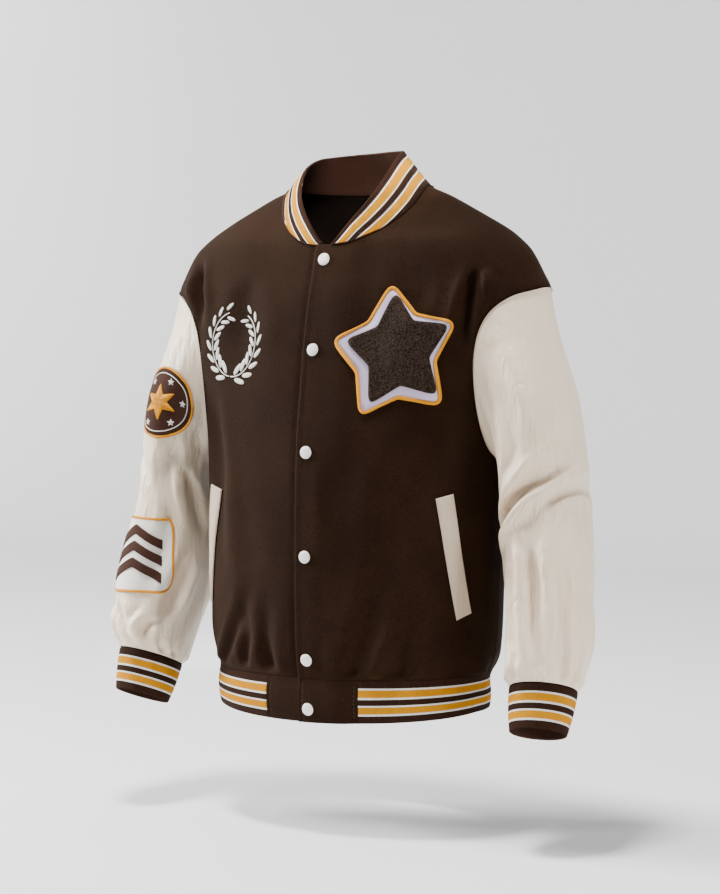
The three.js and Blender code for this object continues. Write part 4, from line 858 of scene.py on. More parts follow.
def collarCloth():
    stations = np.append(withEdges(np.linspace(0, 11, 11 * ribForm["collarAlong"] + 1))[:-4], 11)
    halves = []
    for side in (1, -1):
        base = neckBase(stations, side)
        rim = np.stack([side * curveThrough(collarRim, "at", "x", stations / 11),
                        curveThrough(collarRim, "at", "y", stations / 11),
                        curveThrough(collarRim, "at", "z", stations / 11)], -1)
        rim[:, 2] += rim[:, 0] * cut["collarRiseToLeft"]
        halves.append((base, rim))
    base = np.concatenate([halves[0][0], halves[1][0][-2::-1]])
    rim = np.concatenate([halves[0][1], halves[1][1][-2::-1]])
    t = withEdges(np.linspace(0, 1, ribForm["collarUp"] + 1))[:, None, None]
    run = np.linalg.norm(rim - base, axis=-1)
    points = base + (rim - base) * t
    out = unit((points - (0, 5, 0)) * (1, 1, 0))
    swell = np.sin(math.pi * t[..., 0]) * cut["collarBulge"] * np.minimum(run / 50, 1)
    below = (1 - t[..., 0]) * run
    roll = ribForm["rimRoll"] * np.exp(-((below - ribForm["rollInset"]) / ribForm["rollWide"]) ** 2)
    points = points + out * (swell + roll)[..., None]
    points[0] += 0.6 * unit(points[3] - points[0])
    normals = gridNormals(points, False)
    if np.sum(normals * out) < 0:
        normals = -normals
    columns = np.arange(len(run))
    fromFront = np.minimum(columns, columns[::-1]) / len(run)
    sideways = np.exp(-((fromFront - ribForm["spreadAt"]) / ribForm["spreadWide"]) ** 2)
    below = below / (1 + ribForm["stripeSpread"] * sideways)
    along = np.concatenate([[0], np.cumsum(np.linalg.norm(np.diff(rim, axis=0), axis=-1))])
    uv = np.stack([np.broadcast_to(along, below.shape), below], -1)
    return clothMesh("collar_knit", points, normals, cut["ribWall"], False, uv)


collar = dress(collarCloth(), "rib_knit", ("collar", "ribInside"), "collar_rib")


def hemAngle(across):
    return math.asin(across / float(bodySection(np.array(float(cut["hemTop"])))[0]))


def hemGrid(angles, lift, swell):
    share = withEdges(np.linspace(0, 1, ribForm["bandUp"] + 1))[:, None]
    angles = withEdges(angles)[None, :]
    isBack = np.cos(angles) < 0
    level = hemLevel(np.sin(angles), isBack, share)
    points = bodyPoints(bodySection(level)[0] * np.sin(angles), level, np.broadcast_to(isBack, level.shape))
    normals = bodyNormals(points, np.broadcast_to(isBack, level.shape))
    out = lift(bodySection(level)[0] * np.sin(angles)) + swell * np.sin(math.pi * share)
    points = points + normals * out[..., None]
    along = edgeDistances(points, False)[2]
    return points, normals, np.stack([along, np.broadcast_to(share * cut["hemHeight"], along.shape)], -1)


ribStart = hemAngle(cut["tabReach"] - ribForm["underTab"])
hemAngles = np.linspace(ribStart, 2 * math.pi - ribStart, density["band"])
points, normals, plan = hemGrid(hemAngles, lambda x: 0 * x, ribForm["hemSwell"])
hemCloth = clothMesh("hem_knit", points, normals, cut["ribWall"], False, plan)
hemBand = dress(hemCloth, "rib_knit", ("band", "ribInside"), "hem_rib")
tabReach, lapReach = hemAngle(cut["tabReach"]), hemAngle(cut["overlapReach"])
for name, low, high, lift in (("left_hem_tab", -lapReach, tabReach, lambda x: frontLift(x, "left_front")),
                              ("right_hem_tab", -tabReach, lapReach, lambda x: 0 * x)):
    points, normals, plan = hemGrid(np.linspace(low, high, ribForm["tabColumns"]), lift,
                                    ribForm["tabSwell"])
    edges = edgeDistances(points, False)
    for edge in (edges[2], edges[3]):
        gap = (edge - edgeStitch["inset"]) / edgeStitch["wide"]
        points = points - normals * (edgeStitch["sink"] * np.exp(-gap ** 2))[..., None]
    dress(clothMesh(name + "_cloth", points, normals, cut["woolWall"], False, plan), "melton",
                       ("wool", "lining"), name)

cuffEnd = {"x": 290, "y": -76, "z": -664, "wide": 35, "deep": 36}
for side, name in ((1, "left_cuff"), (-1, "right_cuff")):
    turn = np.linspace(0, 360, density["cuff"], endpoint=False)
    one = np.ones_like(turn)
    top = sleeveSection(turn, one, side, 0 * one)
    corner = sleeveSection(np.array([0.0, 90.0, 180.0]), np.ones(3), side, np.zeros(3))
    middle = (corner[0] + corner[2]) / 2
    arm, forward = unit(corner[0] - middle), unit(corner[1] - middle)
    end = np.array([side * cuffEnd["x"], cuffEnd["y"], cuffEnd["z"]], float)
    top = top + unit(end - middle) * ribForm["cuffGap"]
    angle = np.radians(turn)[:, None]
    low = end + arm * cuffEnd["wide"] * np.cos(angle) + forward * cuffEnd["deep"] * np.sin(angle)
    t = withEdges(np.linspace(0, 1, ribForm["bandUp"] + 1))[:, None, None]
    points = top + (low - top) * t
    out = unit(points - points.mean(1, keepdims=True))
    points = points + out * ribForm["cuffSwell"] * np.sin(math.pi * t)
    normals = gridNormals(points, True)
    if np.sum(normals * out) < 0:
        normals = -normals
    around = np.broadcast_to(angle[:, 0] * ribForm["cuffReach"], points.shape[:2])
    uv = np.stack([around, np.broadcast_to(t[..., 0] * cut["hemHeight"], points.shape[:2])], -1)
    dress(clothMesh(name + "_knit", points, normals, cut["ribWall"], True, uv), "rib_knit",
                        ("band", "ribInside"), name)
print("rib bands and tabs made")

# Stitches, laid along a line on the cloth


def layStitches(name, lines, look, slotName, length, pitch, thick):
    # lines holds (points, normals) pairs in millimetres, and every stitch is a small six-sided bead
    vertices, faces = [], []
    for path, normals in lines:
        path, normals = np.asarray(path, float), np.asarray(normals, float)
        along = np.concatenate([[0], np.cumsum(np.linalg.norm(np.diff(path, axis=0), axis=-1))])
        starts = np.arange(pitch / 2, along[-1] - pitch / 2, pitch)
        for start in starts:
            ends = [np.array([np.interp(start + s * length, along, path[:, k]) for k in range(3)])
                    for s in (-0.5, 0.5)]
            up = unit(np.array([np.interp(start, along, normals[:, k]) for k in range(3)]))
            run = ends[1] - ends[0]
            across = unit(np.cross(run, up))
            first = len(vertices)
            for s, grow in ((0, 0.35), (0.2, 1), (0.8, 1), (1, 0.35)):
                for turn in range(6):
                    a = turn * math.pi / 3
                    high = math.sin(a) * 0.5 * grow + 0.12
                    ring = across * math.cos(a) * 0.5 * thick * grow + up * high * thick
                    vertices.append((ends[0] + run * s + ring) / 1000)
            for k in range(3):
                for turn in range(6):
                    a, b = first + 6 * k + turn, first + 6 * k + (turn + 1) % 6
                    faces.append((a, b, b + 6, a + 6))
            faces += [tuple(first + 5 - i for i in range(6)), tuple(first + 18 + i for i in range(6))]
    mesh = bpy.data.meshes.new(name)
    mesh.from_pydata([tuple(v) for v in vertices], [], faces)
    mesh.polygons.foreach_set("use_smooth", np.ones(len(faces), bool))
    mesh.update()
    bpy.ops.object.select_all(action="DESELECT")
    piece = bpy.data.objects.new(name, mesh)
    bpy.context.scene.collection.objects.link(piece)
    bpy.context.view_layer.objects.active = piece
    piece.select_set(True)
    bpy.ops.object.mode_set(mode="EDIT")
    bpy.ops.mesh.select_all(action="SELECT")
    bpy.ops.mesh.normals_make_consistent(inside=False)
    bpy.ops.object.mode_set(mode="OBJECT")
    piece.select_set(False)
    return dress(piece, slotName, (look,))


def frontLine(panel, spots, above):
    # a line on a front, by distance across and level, and how far above the cloth it runs
    side = -1 if panel == "right_front" else 1
    spots = np.asarray(spots, float)
    points = bodyPoints(side * spots[:, 0], spots[:, 1], False)
    normals = bodyNormals(points, False)
    relief = bodyRelief(points, panel, False) * ease(*drape["flatAtSnaps"], spots[:, 0])
    return points + normals * (relief + frontLift(spots[:, 0], panel) + above)[:, None], normals


frontStitches = {"from": -80, "to": -606, "steps": 160, "tabFrom": -617, "tabTo": -662, "tabSteps": 20,
                 "tabSink": 0.3}


def levelLine(panel, across, first, last, steps, sink):
    levels = np.linspace(frontStitches[first], frontStitches[last], frontStitches[steps])
    return frontLine(panel, np.stack([np.full(len(levels), across), levels], -1), -sink)


placketInset = -cut["overlapReach"] + edgeStitch["inset"]
tabInset = cut["tabReach"] - edgeStitch["inset"]
stitchLines = [levelLine("left_front", placketInset, "from", "to", "steps", edgeStitch["sink"])]
for panel, across in (("left_front", placketInset), ("left_front", tabInset), ("right_front", tabInset)):
    stitchLines.append(levelLine(panel, across, "tabFrom", "tabTo", "tabSteps", frontStitches["tabSink"]))
layStitches("front_stitches", stitchLines, "brownThread", "melton", edgeStitch["length"],
            edgeStitch["pitch"],
            edgeStitch["thick"])

# Pocket welts

welt = {"topIn": (158, -385), "topOut": (174.5, -379), "endIn": (177.5, -534), "endOut": (190, -526),
        "height": 2.2, "lift": 0.9, "pad": 0.5, "ripple": 0.25, "seat": 0.4, "stitchInset": 2.4,
        "stitchSink": 0.35, "stitchWide": 0.7, "stitchRise": 0.12, "stitchLength": 2.2,
        "stitchPitch": 3.4, "stitchThick": 0.55, "rows": 70, "columns": 12}


def weltSpots(t, u):
    corners = {k: np.array(welt[k], float) for k in ("topIn", "topOut", "endIn", "endOut")}
    inner = corners["topIn"] + (corners["endIn"] - corners["topIn"]) * t[..., None]
    outer = corners["topOut"] + (corners["endOut"] - corners["topOut"]) * t[..., None]
    return inner + (outer - inner) * u[..., None]


for panel in ("left_front", "right_front"):
    side = -1 if panel == "right_front" else 1
    rows, columns = (withEdges(np.linspace(0, 1, welt[k])) for k in ("rows", "columns"))
    t, u = np.meshgrid(rows, columns, indexing="ij")
    spots = weltSpots(t, u)
    points = bodyPoints(side * spots[..., 0], spots[..., 1], False)
    normals = bodyNormals(points, False)
    pad = (welt["pad"] + welt["ripple"] * np.sin(9 * t + 2)) * np.sin(math.pi * u)
    relief = bodyRelief(points, panel, False) + welt["height"] + welt["lift"] + pad
    points = points + normals * relief[..., None]
    edges = edgeDistances(points, False)
    nearEdge = np.minimum.reduce(edges)
    groove = np.exp(-((nearEdge - welt["stitchInset"]) / welt["stitchWide"]) ** 2)
    points = points - normals * (welt["stitchSink"] * groove)[..., None]
    name = panel.split("_")[0] + "_pocket_welt"
    wall, plan = welt["height"] + welt["lift"] + welt["seat"], np.stack([edges[2], edges[0]], -1)
    cloth = clothMesh(name + "_leather", points, normals, wall, False, plan)
    dress(cloth, "welt_leather", ("welt", "lining"), name)
    short, long = np.linspace(0.15, 0.85, 8), np.linspace(0.03, 0.97, 60)
    ring = [(0.017, v) for v in short] + [(v, 0.86) for v in long]
    ring += [(0.983, v) for v in short[::-1]] + [(v, 0.14) for v in long[::-1]]
    ring = np.array(ring)
    line = weltSpots(ring[:, 0], ring[:, 1])
    base = bodyPoints(side * line[:, 0], line[:, 1], False)
    up = bodyNormals(base, False)
    high = bodyRelief(base, panel, False) + welt["height"] + welt["lift"] + welt["stitchRise"]
    layStitches(name + "_stitches", [(base + up * high[:, None], up)], "creamThread", "welt_leather",
                welt["stitchLength"], welt["stitchPitch"], welt["stitchThick"])
print("welts and stitches made")

# Snaps, modelled once and copied

snap = {"radius": 0.0077, "base": 0.0011, "dome": (0.0009, 0.0006, 0.0003),
        "insets": (0.0006, 0.0012, 0.0024), "rim": 0.00045, "round": 0.00022, "seat": 0.05,
        "levels": (-93, -205, -331, -460, -588, -650)}


def pickFaces(test):
    # selects faces of the mesh in edit mode by their normal and place
    form = bmesh.from_edit_mesh(bpy.context.active_object.data)
    for face in form.faces:
        face.select_set(test(face))
    bmesh.update_edit_mesh(bpy.context.active_object.data)


def finishModel(piece, bevel, angle):
    bpy.ops.mesh.select_all(action="SELECT")
    bpy.ops.mesh.normals_make_consistent(inside=False)
    bpy.ops.object.mode_set(mode="OBJECT")
    if bevel:
        rounded = piece.modifiers.new("rounded", "BEVEL")
        rounded.width, rounded.segments, rounded.angle_limit = bevel, 2, math.radians(25)
        bpy.ops.object.modifier_apply(modifier="rounded")
    bpy.ops.object.shade_smooth_by_angle(angle=math.radians(angle))
    piece.select_set(False)


bpy.ops.object.select_all(action="DESELECT")
bpy.ops.mesh.primitive_cylinder_add(vertices=40, radius=snap["radius"], depth=snap["base"],
                                    location=(0, 0, snap["base"] / 2))
snapCap = bpy.context.active_object
bpy.ops.object.transform_apply(location=True, rotation=False, scale=False)
bpy.ops.object.mode_set(mode="EDIT")
bpy.ops.mesh.select_mode(type="FACE")
pickFaces(lambda face: face.normal.z > 0.9)
for inset, rise in zip(snap["insets"], snap["dome"]):
    bpy.ops.mesh.inset(thickness=inset)
    bpy.ops.transform.translate(value=(0, 0, rise))
finishModel(snapCap, snap["round"], 50)
bpy.ops.object.select_all(action="DESELECT")
bpy.ops.mesh.primitive_torus_add(major_radius=snap["radius"] - 0.0001, minor_radius=snap["rim"],
                                 major_segments=40, minor_segments=8, location=(0, 0, 0.0003))
snapRing = bpy.context.active_object
bpy.ops.object.transform_apply(location=True, rotation=False, scale=False)
bpy.ops.object.mode_set(mode="EDIT")
finishModel(snapRing, 0, 60)

for i, level in enumerate(snap["levels"]):
    spot = bodyPoints(np.array([0.0]), np.array([float(level)]), False)
    up = bodyNormals(spot, False)[0]
    seat = Vector((spot[0] + up * (cut["overlapLift"] + snap["seat"])) / 1000)
    turn = Vector((0, 0, 1)).rotation_difference(Vector(up)).to_matrix().to_4x4()
    turn.translation = seat
    for part, look, label in ((snapCap, "enamel", "cap"), (snapRing, "snapRim", "ring")):
        copy = bpy.data.objects.new(f"snap_{i + 1}_{label}", part.data.copy())
        bpy.context.scene.collection.objects.link(copy)
        copy.data.transform(turn)
        dress(copy, "snap_enamel", (look,), *((f"snap_{i + 1}",) if label == "cap" else ()))
for part in (snapCap, snapRing):
    bpy.data.objects.remove(part)
print("snaps made")

# Applique and embroidery


def starOutline(radius, inner, points, soften):
    # reach of a rounded star for each of 720 angles, with a point at angle 0
    step = math.pi / points
    angle = np.radians(np.arange(720) / 2)
    local = np.mod(angle, 2 * step)
    local = np.minimum(local, 2 * step - local)
    notch = inner * np.array([math.cos(step), math.sin(step)])
    edge = notch - (1, 0)
    reach = edge[1] / (np.cos(local) * edge[1] - np.sin(local) * edge[0])
    reach = np.minimum(reach, 0.96)
    weights = np.exp(-(np.arange(-30, 31) / soften) ** 2)
    padded = np.concatenate([reach[-30:], reach, reach[:30]])
    return radius * np.convolve(padded, weights / weights.sum(), "valid")


def reachAt(outline, angle):
    return np.interp(np.mod(np.degrees(angle) * 2, 720), np.arange(721), np.append(outline, outline[0]))


def patchMesh(name, outline, profile, place, sides=180, turned=math.pi / 2):
    # profile lists share of the reach, extra reach and lift, from the middle of the top round to below
    angle = np.linspace(0, 2 * math.pi, sides, endpoint=False)
    reach = reachAt(outline, angle - turned)
    rows, uvRows = [], []
    for share, extra, lift in profile[1:-1]:
        r = reach * share + extra
        rows.append(place(r * np.cos(angle), r * np.sin(angle), lift))
        uvRows.append(np.stack([angle * reach.mean(), reach * (1 - share) - extra], -1))
    middle = [place(np.zeros(1), np.zeros(1), profile[k][2])[0] for k in (0, -1)]
    points = np.concatenate([[middle[0]]] + rows + [[middle[1]]]) / 1000
    uv = np.concatenate([[(0, reach.mean())]] + uvRows + [[(0, reach.mean())]]) / 1000
    i = np.arange(sides)
    n = (i + 1) % sides
    faces = [(0, 1 + a, 1 + b) for a, b in zip(i, n)]
    for k in range(len(rows) - 1):
        a = 1 + k * sides
        faces += [(a + p, a + sides + p, a + sides + q, a + q) for p, q in zip(i, n)]
    last = 1 + (len(rows) - 1) * sides
    faces += [(last + a, len(points) - 1, last + b) for a, b in zip(i, n)]
    return sheetFromFaces(name, points, faces, uv)


def sheetFromFaces(name, points, faces, uv):
    mesh = bpy.data.meshes.new(name)
    mesh.from_pydata([tuple(p) for p in points], [], [tuple(int(v) for v in f) for f in faces])
    layer = mesh.uv_layers.new(name="cloth")
    loops = np.zeros(len(mesh.loops), np.int32)
    mesh.loops.foreach_get("vertex_index", loops)
    layer.data.foreach_set("uv", uv[loops].astype(np.float32).ravel())
    mesh.polygons.foreach_set("use_smooth", np.ones(len(mesh.polygons), bool))
    piece = bpy.data.objects.new(name, mesh)
    bpy.context.scene.collection.objects.link(piece)
    form = bmesh.new()
    form.from_mesh(mesh)
    bmesh.ops.recalc_face_normals(form, faces=form.faces)
    form.to_mesh(mesh)
    form.free()
    return piece


def tubeMesh(name, path, ups, wide, high, closed=True, sides=10):
    # a raised cord along a path: wide across, high above it
    path, ups = np.asarray(path, float), unit(np.asarray(ups, float))
    run = unit(np.roll(path, -1, 0) - np.roll(path, 1, 0)) if closed else unit(np.gradient(path, axis=0))
    across = unit(np.cross(run, ups))
    a = np.linspace(0, 2 * math.pi, sides, endpoint=False)
    wide = np.broadcast_to(wide, len(path))
    high = np.broadcast_to(high, len(path))
    rings = (path[:, None] + across[:, None] * (np.cos(a)[None] * wide[:, None] / 2)[..., None]
             + ups[:, None] * ((np.sin(a)[None] * 0.5 + 0.42) * high[:, None])[..., None])
    count = len(path)
    along = np.concatenate([[0], np.cumsum(np.linalg.norm(np.diff(path, axis=0), axis=-1))])
    uv = np.stack([np.repeat(along, sides), np.tile(a * wide.mean() / 2, count)], -1) / 1000
    faces = []
    for i in range(count if closed else count - 1):
        for k in range(sides):
            b, m = (i + 1) % count, (k + 1) % sides
            faces.append((i * sides + k, b * sides + k, b * sides + m, i * sides + m))
    if not closed:
        faces += [tuple(range(sides))[::-1], tuple((count - 1) * sides + k for k in range(sides))]
    return sheetFromFaces(name, rings.reshape(-1, 3) / 1000, faces, uv)


chest = {"across": 112, "level": -206, "radius": 75, "inner": 0.56, "points": 5, "lean": 8, "margin": 11,
         "shift": -5, "drop": 2, "feltTop": 2.3, "pileLow": 2.2, "pileHigh": 6.6, "cordWide": 4.6,
         "cordHigh": 3.4, "squeeze": 0.93, "soften": 9}


def onChest(s, t, lift):
    lean = math.radians(chest["lean"])
    right, up = s * math.cos(lean) - t * math.sin(lean), s * math.sin(lean) + t * math.cos(lean)
    points = bodyPoints(chest["across"] + right * chest["squeeze"], chest["level"] + up, False)
    relief = bodyRelief(points, "left_front", False) + frontLift(points[..., 0], "left_front")
    return points + bodyNormals(points, False) * (relief + lift)[..., None]


def onFelt(s, t, lift):
    return onChest(s + chest["shift"], t - chest["drop"], lift)


chestStar = starOutline(chest["radius"], chest["inner"], chest["points"], chest["soften"])
shares = np.linspace(0, 0.94, 16)
feltProfile = [(s, 0, chest["feltTop"]) for s in np.append(shares, 1)]
feltProfile += [(1, chest["margin"], chest["feltTop"]), (1, chest["margin"], 0.2), (0.5, 0, 0.2),
                (0, 0, 0.2)]
felt = patchMesh("chest_felt_layer", chestStar, feltProfile, onFelt)
dress(felt, "pale_felt", ("lavender",), "chest_felt")
rise = chest["pileHigh"] - chest["pileLow"]
domed = [(s, 0, chest["pileLow"] + rise * (0.8 + 0.2 * math.cos(s * 5))) for s in np.linspace(0, 0.84, 22)]
edgeRow = ((0.9, 0.84), (0.95, 0.7), (0.985, 0.42), (1, 0))
domed += [(s, 0, chest["pileLow"] + rise * share) for s, share in edgeRow]
domed += [(0.9, 0, chest["pileLow"] - 0.2), (0, 0, chest["pileLow"] - 0.2)]
dress(patchMesh("chest_pile_layer", chestStar, domed, onChest, 240), "chenille", ("pile",), "chest_pile")
spin = np.linspace(0, 2 * math.pi, 260, endpoint=False)
reach = reachAt(chestStar, spin - math.pi / 2) + chest["margin"] + 0.4
cordPath = onFelt(reach * np.cos(spin), reach * np.sin(spin), 0.5)
cordUps = onFelt(reach * np.cos(spin), reach * np.sin(spin), 1.5) - cordPath
cordWide = chest["cordWide"] * (1 + 0.18 * np.sin(spin * 3 + 4) + 0.1 * np.sin(spin * 7))
dress(tubeMesh("chest_cord", cordPath, cordUps, cordWide, chest["cordHigh"]), "gold_cord", ("cord",),
                  "chest_border")

badge = {"turn": 78, "at": 0.2, "radius": 47, "top": 2.4, "rim": 3.2, "ring": 38.5, "starRadius": 25,
         "starInner": 0.45, "small": 5.5, "smallAt": 31}
lower = {"turn": 80, "at": 0.68, "halfWidth": 53, "halfHeight": 50, "top": 2.4, "rim": 3.6, "barHalf": 38,
         "rise": 20, "thick": 13, "drops": (24, 2, -20), "barTop": 1.7, "barWall": 1.9}


def onSleeve(patch):
    # s to the patch's right and t upwards over the wearer's right sleeve, in millimetres
    def place(s, t, lift):
        s, t = np.broadcast_arrays(np.asarray(s, float), np.asarray(t, float))
        turn, at = np.full(s.shape, float(patch["turn"])), np.full(s.shape, float(patch["at"]))
        for i in range(6):
            points = sleevePoints(turn, at, -1, [], False)
            perTurn = sleevePoints(turn + 1, at, -1, [], False) - points
            perPlace = (sleevePoints(turn, at + 0.01, -1, [], False) - points) * 100
            normals = unit(np.cross(perPlace, perTurn))
            up = unit(np.array([0, 0, 1.0]) - normals * normals[..., 2:])
            if i == 5:
                break
            move = np.cross(up, normals) * (s / 5)[..., None] + up * (t / 5)[..., None]
            a, b, d = (perTurn ** 2).sum(-1), (perTurn * perPlace).sum(-1), (perPlace ** 2).sum(-1)
            p, q = (move * perTurn).sum(-1), (move * perPlace).sum(-1)
            turn = turn + (p * d - q * b) / (a * d - b * b)
            at = at + (a * q - b * p) / (a * d - b * b)
        return sleevePoints(turn, at, -1, rightSleeveFolds) + normals * np.asarray(lift)[..., None]
    return place


def flatProfile(low, top, steps=12):
    edge = [(1, 0, top - 0.3), (1, 0, low), (0.5, 0, low), (0, 0, low)]
    return [(s, 0, top) for s in np.linspace(0, 0.985, steps)] + edge


def outlineCord(name, outline, inset, place, lift, wide, high, look, slotName, *nodes):
    spin = np.linspace(0, 2 * math.pi, 200, endpoint=False)
    r = reachAt(outline, spin - math.pi / 2) - inset
    path = place(r * np.cos(spin), r * np.sin(spin), lift)
    ups = place(r * np.cos(spin), r * np.sin(spin), lift + 1) - path
    return dress(tubeMesh(name, path, ups, wide, high, sides=8), slotName, (look,), *nodes)


onBadge, onLower = onSleeve(badge), onSleeve(lower)
disc = np.full(720, float(badge["radius"]))
badgeFelt = patchMesh("badge_felt", disc, flatProfile(0.3, badge["top"]), onBadge, 120)
dress(badgeFelt, "dark_felt", ("brownFelt",), "badge_base")
outlineCord("badge_edge", disc, 1.2, onBadge, badge["top"] - 0.9, badge["rim"], 2.0, "cord", "gold_cord")
outlineCord("badge_ring", disc, badge["radius"] - badge["ring"], onBadge, badge["top"] - 0.1, 1.3, 0.8,
            "whiteThread", "dark_felt")
badgeStar = starOutline(badge["starRadius"], badge["starInner"], 6, 3)
starRises = ((0, 1.6), (0.4, 1.4), (0.8, 1.1), (0.96, 0.7), (1, -0.1), (0, -0.2))
starProfile = [(s, 0, badge["top"] + up) for s, up in starRises]
satin = patchMesh("badge_star_satin", badgeStar, starProfile, onBadge, 120)
dress(satin, "gold_cord", ("cord",), "badge_star")
smallStar = starOutline(badge["small"], badge["starInner"], 5, 3)
smallRises = ((0, 0.9), (0.7, 0.7), (1, -0.1), (0, -0.2))
smallProfile = [(s, 0, badge["top"] + up) for s, up in smallRises]
for k in range(6):
    a = math.pi / 2 + (k + 0.5) * math.pi / 3
    dx, dy = badge["smallAt"] * math.cos(a), badge["smallAt"] * math.sin(a)
    small = patchMesh(f"badge_small_star_{k + 1}", smallStar, smallProfile,
                      lambda s, t, lift: onBadge(s + dx, t + dy, lift), 40)
    dress(small, "dark_felt", ("whiteThread",))

spin = np.radians(np.arange(720) / 2)
squareSides = (np.abs(np.sin(spin)) / lower["halfWidth"], np.abs(np.cos(spin)) / lower["halfHeight"])
square = 1 / (squareSides[0] ** 8 + squareSides[1] ** 8) ** 0.125
lowerFelt = patchMesh("lower_patch_felt", square, flatProfile(0.3, lower["top"]), onLower, 160)
dress(lowerFelt, "gold_felt", ("whiteFelt",), "lower_patch_base")
outlineCord("lower_patch_edge", square, 1.4, onLower, lower["top"] - 0.9, lower["rim"], 2.0, "cord",
            "gold_cord")
for k, drop in enumerate(lower["drops"]):
    u, v = np.meshgrid(withEdges(np.linspace(-1, 1, 61)), withEdges(np.linspace(0, 1, 7)))
    bend = np.sqrt(u ** 2 + 0.002)
    t = drop + lower["rise"] * (0.5 - bend) + lower["thick"] * (0.5 - v)
    top = onLower(u * lower["barHalf"], t, lower["top"] + lower["barTop"])
    normals = unit(onLower(u * lower["barHalf"], t, lower["top"] + lower["barTop"] + 1) - top)
    plan = np.stack([u * lower["barHalf"], v * lower["thick"]], -1)
    bar = clothMesh(f"lower_patch_bar_{k + 1}", top, normals, lower["barWall"], False, plan)
    dress(bar, "chenille", ("brownFelt", "brownFelt"), *(("lower_patch_bars",) if k == 0 else ()))
print("applique made")

# White embroidery on the wearer's right chest: two leafy stems that nearly meet at the top

sprig = {"across": 131, "level": -198, "radius": 37, "tall": 1.12, "lean": -6, "leaves": 8,
         "leafLength": 17, "leafWidth": 6.4, "stem": 1.5, "stemHigh": 0.9, "lift": 0.1, "arc": (-88, 68),
         "firstLeaf": -66, "leafStep": 19.5, "leafOut": 7.2, "leafLean": 0.55, "shrink": 0.045}


def onRightChest(s, t, lift):
    lean = math.radians(sprig["lean"])
    right, up = s * math.cos(lean) - t * math.sin(lean), s * math.sin(lean) + t * math.cos(lean)
    points = bodyPoints(-sprig["across"] + right, sprig["level"] + up, False)
    relief = bodyRelief(points, "right_front", False)
    return points + bodyNormals(points, False) * (relief + lift)[..., None]


slender = sprig["leafLength"] / sprig["leafWidth"]
leafOutline = 0.5 * sprig["leafLength"] / np.sqrt(np.cos(spin) ** 2 + (slender * np.sin(spin)) ** 2)
leafOutline = leafOutline * (1 + 0.12 * np.abs(np.cos(spin)) ** 6)
leafProfile = [(0, 0, 0.95), (0.5, 0, 0.85), (0.9, 0, 0.6), (1, 0, 0.05), (0, 0, 0.0)]
sprigParts = []
for side in (-1, 1):
    arc = np.radians(np.linspace(*sprig["arc"], 60))
    s, t = side * sprig["radius"] * np.cos(arc), sprig["radius"] * sprig["tall"] * np.sin(arc)
    stem = onRightChest(s, t, sprig["lift"])
    ups = onRightChest(s, t, 1.0 + sprig["lift"]) - stem
    sprigParts.append(tubeMesh("stem", stem, ups, sprig["stem"], sprig["stemHigh"], False, 8))
    for k in range(sprig["leaves"]):
        a = math.radians(sprig["firstLeaf"] + k * sprig["leafStep"])
        for outwards in (1, -1):
            radius = sprig["radius"] + outwards * sprig["leafOut"]
            cs, ct = side * radius * math.cos(a), radius * sprig["tall"] * math.sin(a)
            lean = a + math.pi / 2 - outwards * sprig["leafLean"]
            lean = lean if side > 0 else math.pi - lean
            cosLean, sinLean = math.cos(lean), math.sin(lean)
            grow = 1 - sprig["shrink"] * k

            def onLeaf(x, y, lift, cs=cs, ct=ct, cosLean=cosLean, sinLean=sinLean, grow=grow):
                return onRightChest(cs + grow * (x * cosLean - y * sinLean),
                                    ct + grow * (x * sinLean + y * cosLean),
                                    sprig["lift"] + lift)
            sprigParts.append(patchMesh("leaf", leafOutline, leafProfile, onLeaf, 28, 0.0))
bpy.ops.object.select_all(action="DESELECT")
for part in sprigParts:
    part.select_set(True)
bpy.context.view_layer.objects.active = sprigParts[0]
bpy.ops.object.join()
sprigPiece = bpy.context.active_object
sprigPiece.name = "sprig_embroidery"
sprigPiece.select_set(False)
dress(sprigPiece, "melton", ("whiteThread",))
print("embroidery made")

# Floor, backdrop, light and camera

studio = {"floor": -0.81, "width": 14.0, "near": -7.0, "far": 4.5, "wall": 7.0, "curve": 1.6,
          "shade": (0.84, 0.84, 0.845), "bareFloor": (0.16, 0.16, 0.16), "paperFrom": -0.9,
          "paperFade": 0.4, "paperBend": 24, "world": 0.1}
lamps = [
    # name, place, what it is turned to, watts, size, spread in degrees
    ("key", (-3.2, -0.8, 0.9), (-0.1, 0, -0.4), 300.0, 0.9, 180),
    ("front", (-1.9, -2.6, 2.0), (0, 0, -0.3), 48.0, 0.7, 180),
    ("side", (2.7, -0.5, -0.6), (0.28, 0, -0.45), 66.0, 0.8, 180),
    ("top", (-0.1, -0.6, 2.4), (0, 0, -0.6), 145.0, 0.5, 180),
    ("neckLight", (1.1, -1.5, 1.25), (-0.04, 0.02, 0.03), 0.55, 0.12, 10),
    ("wallLight", (-4.7, 2.5, 1.6), (-4.3, 4.6, -0.4), 130.0, 1.5, 180),
]
bpy.ops.object.select_all(action="DESELECT")
middle = (studio["near"] + studio["far"]) / 2
bpy.ops.mesh.primitive_plane_add(size=1, location=(0, middle, studio["floor"]))
backdrop = bpy.context.active_object
backdrop.name = "backdrop"
backdrop.scale = (studio["width"], studio["far"] - studio["near"], 1)
bpy.ops.object.transform_apply(location=True, rotation=False, scale=True)
bpy.ops.object.mode_set(mode="EDIT")
bpy.ops.mesh.select_mode(type="EDGE")
form = bmesh.from_edit_mesh(backdrop.data)
for edge in form.edges:
    edge.select_set(all(v.co.y > studio["far"] - 0.01 for v in edge.verts))
bmesh.update_edit_mesh(backdrop.data)
bpy.ops.mesh.extrude_region_move(TRANSFORM_OT_translate={"value": (0, 0, studio["wall"])})
form = bmesh.from_edit_mesh(backdrop.data)
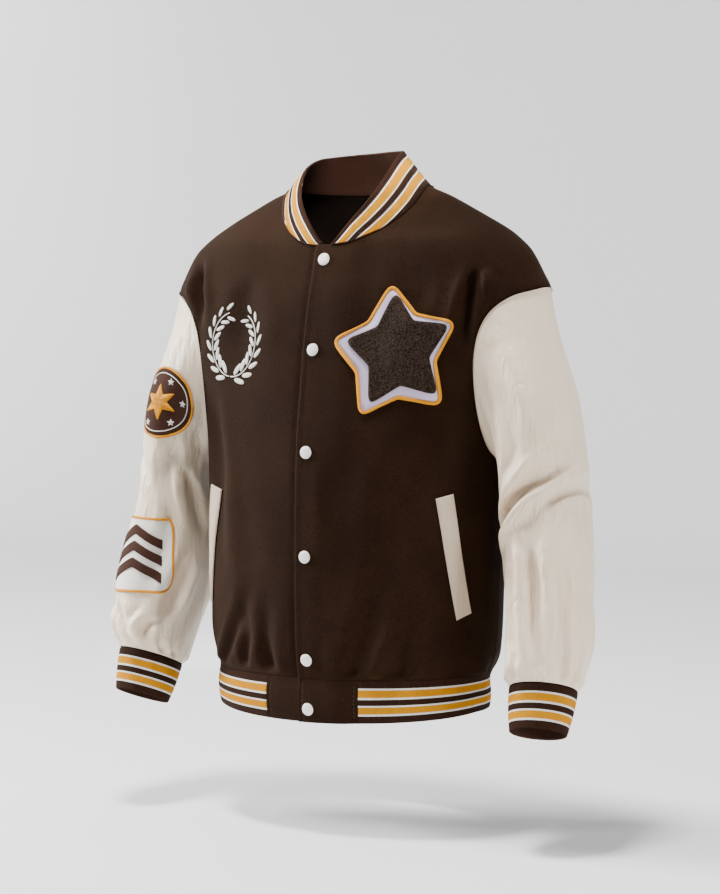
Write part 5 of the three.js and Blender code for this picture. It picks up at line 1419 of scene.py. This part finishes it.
for edge in form.edges:
    edge.select_set(all(v.co.y > studio["far"] - 0.01 and v.co.z < studio["floor"] + 0.01
                        for v in edge.verts))
bmesh.update_edit_mesh(backdrop.data)
bpy.ops.mesh.bevel(offset=studio["curve"], segments=studio["paperBend"])
bpy.ops.object.mode_set(mode="OBJECT")
bpy.ops.object.shade_smooth()
backdrop.select_set(False)


def paperLook(place, cloth):
    grain = noiseOn(place, 3.0, 2.0)
    split = place.add("ShaderNodeSeparateXYZ", None, {0: place})
    forward = Wire(place.tree, split.source.node.outputs[1])
    onPaper = softStep(forward, studio["paperFrom"] - studio["paperFade"], studio["paperFrom"])
    base = mixColors(onPaper, fourth(studio["bareFloor"]), fourth(studio["shade"]))
    return base, 0.85, grain, 0.0002


backdrop.data.materials.append(finish("pale paper", paperLook, {"Specular IOR Level": 0.2}))

world = bpy.data.worlds.new("soft studio")
bpy.context.scene.world = world
world.use_nodes = True
world.node_tree.nodes["Background"].inputs[0].default_value = (0.95, 0.97, 1.0, 1)
world.node_tree.nodes["Background"].inputs[1].default_value = studio["world"]

for name, place, aim, power, size, spread in lamps:
    lamp = bpy.data.objects.new(name, bpy.data.lights.new(name, "AREA"))
    lamp.data.energy, lamp.data.size, lamp.data.spread = power, size, math.radians(spread)
    bpy.context.scene.collection.objects.link(lamp)
    lamp.location = place
    lamp.rotation_euler = (Vector(aim) - Vector(place)).to_track_quat("-Z", "Y").to_euler()

view = {"turn": 30.0, "down": 2.96, "away": 2.9, "aim": (0, 0, -0.33), "focal": 2260.0, "longSide": 894.0}
camera = bpy.data.objects.new("camera", bpy.data.cameras.new("camera"))
bpy.context.scene.collection.objects.link(camera)
turn, down = math.radians(view["turn"]), math.radians(view["down"])
offset = Vector((math.sin(turn) * math.cos(down), -math.cos(turn) * math.cos(down), math.sin(down)))
camera.location = Vector(view["aim"]) + offset * view["away"]
camera.rotation_euler = (-offset).to_track_quat("-Z", "Y").to_euler()
camera.data.sensor_width = 36.0
camera.data.lens = view["focal"] / view["longSide"] * 36.0
bpy.context.scene.camera = camera
print("studio made")
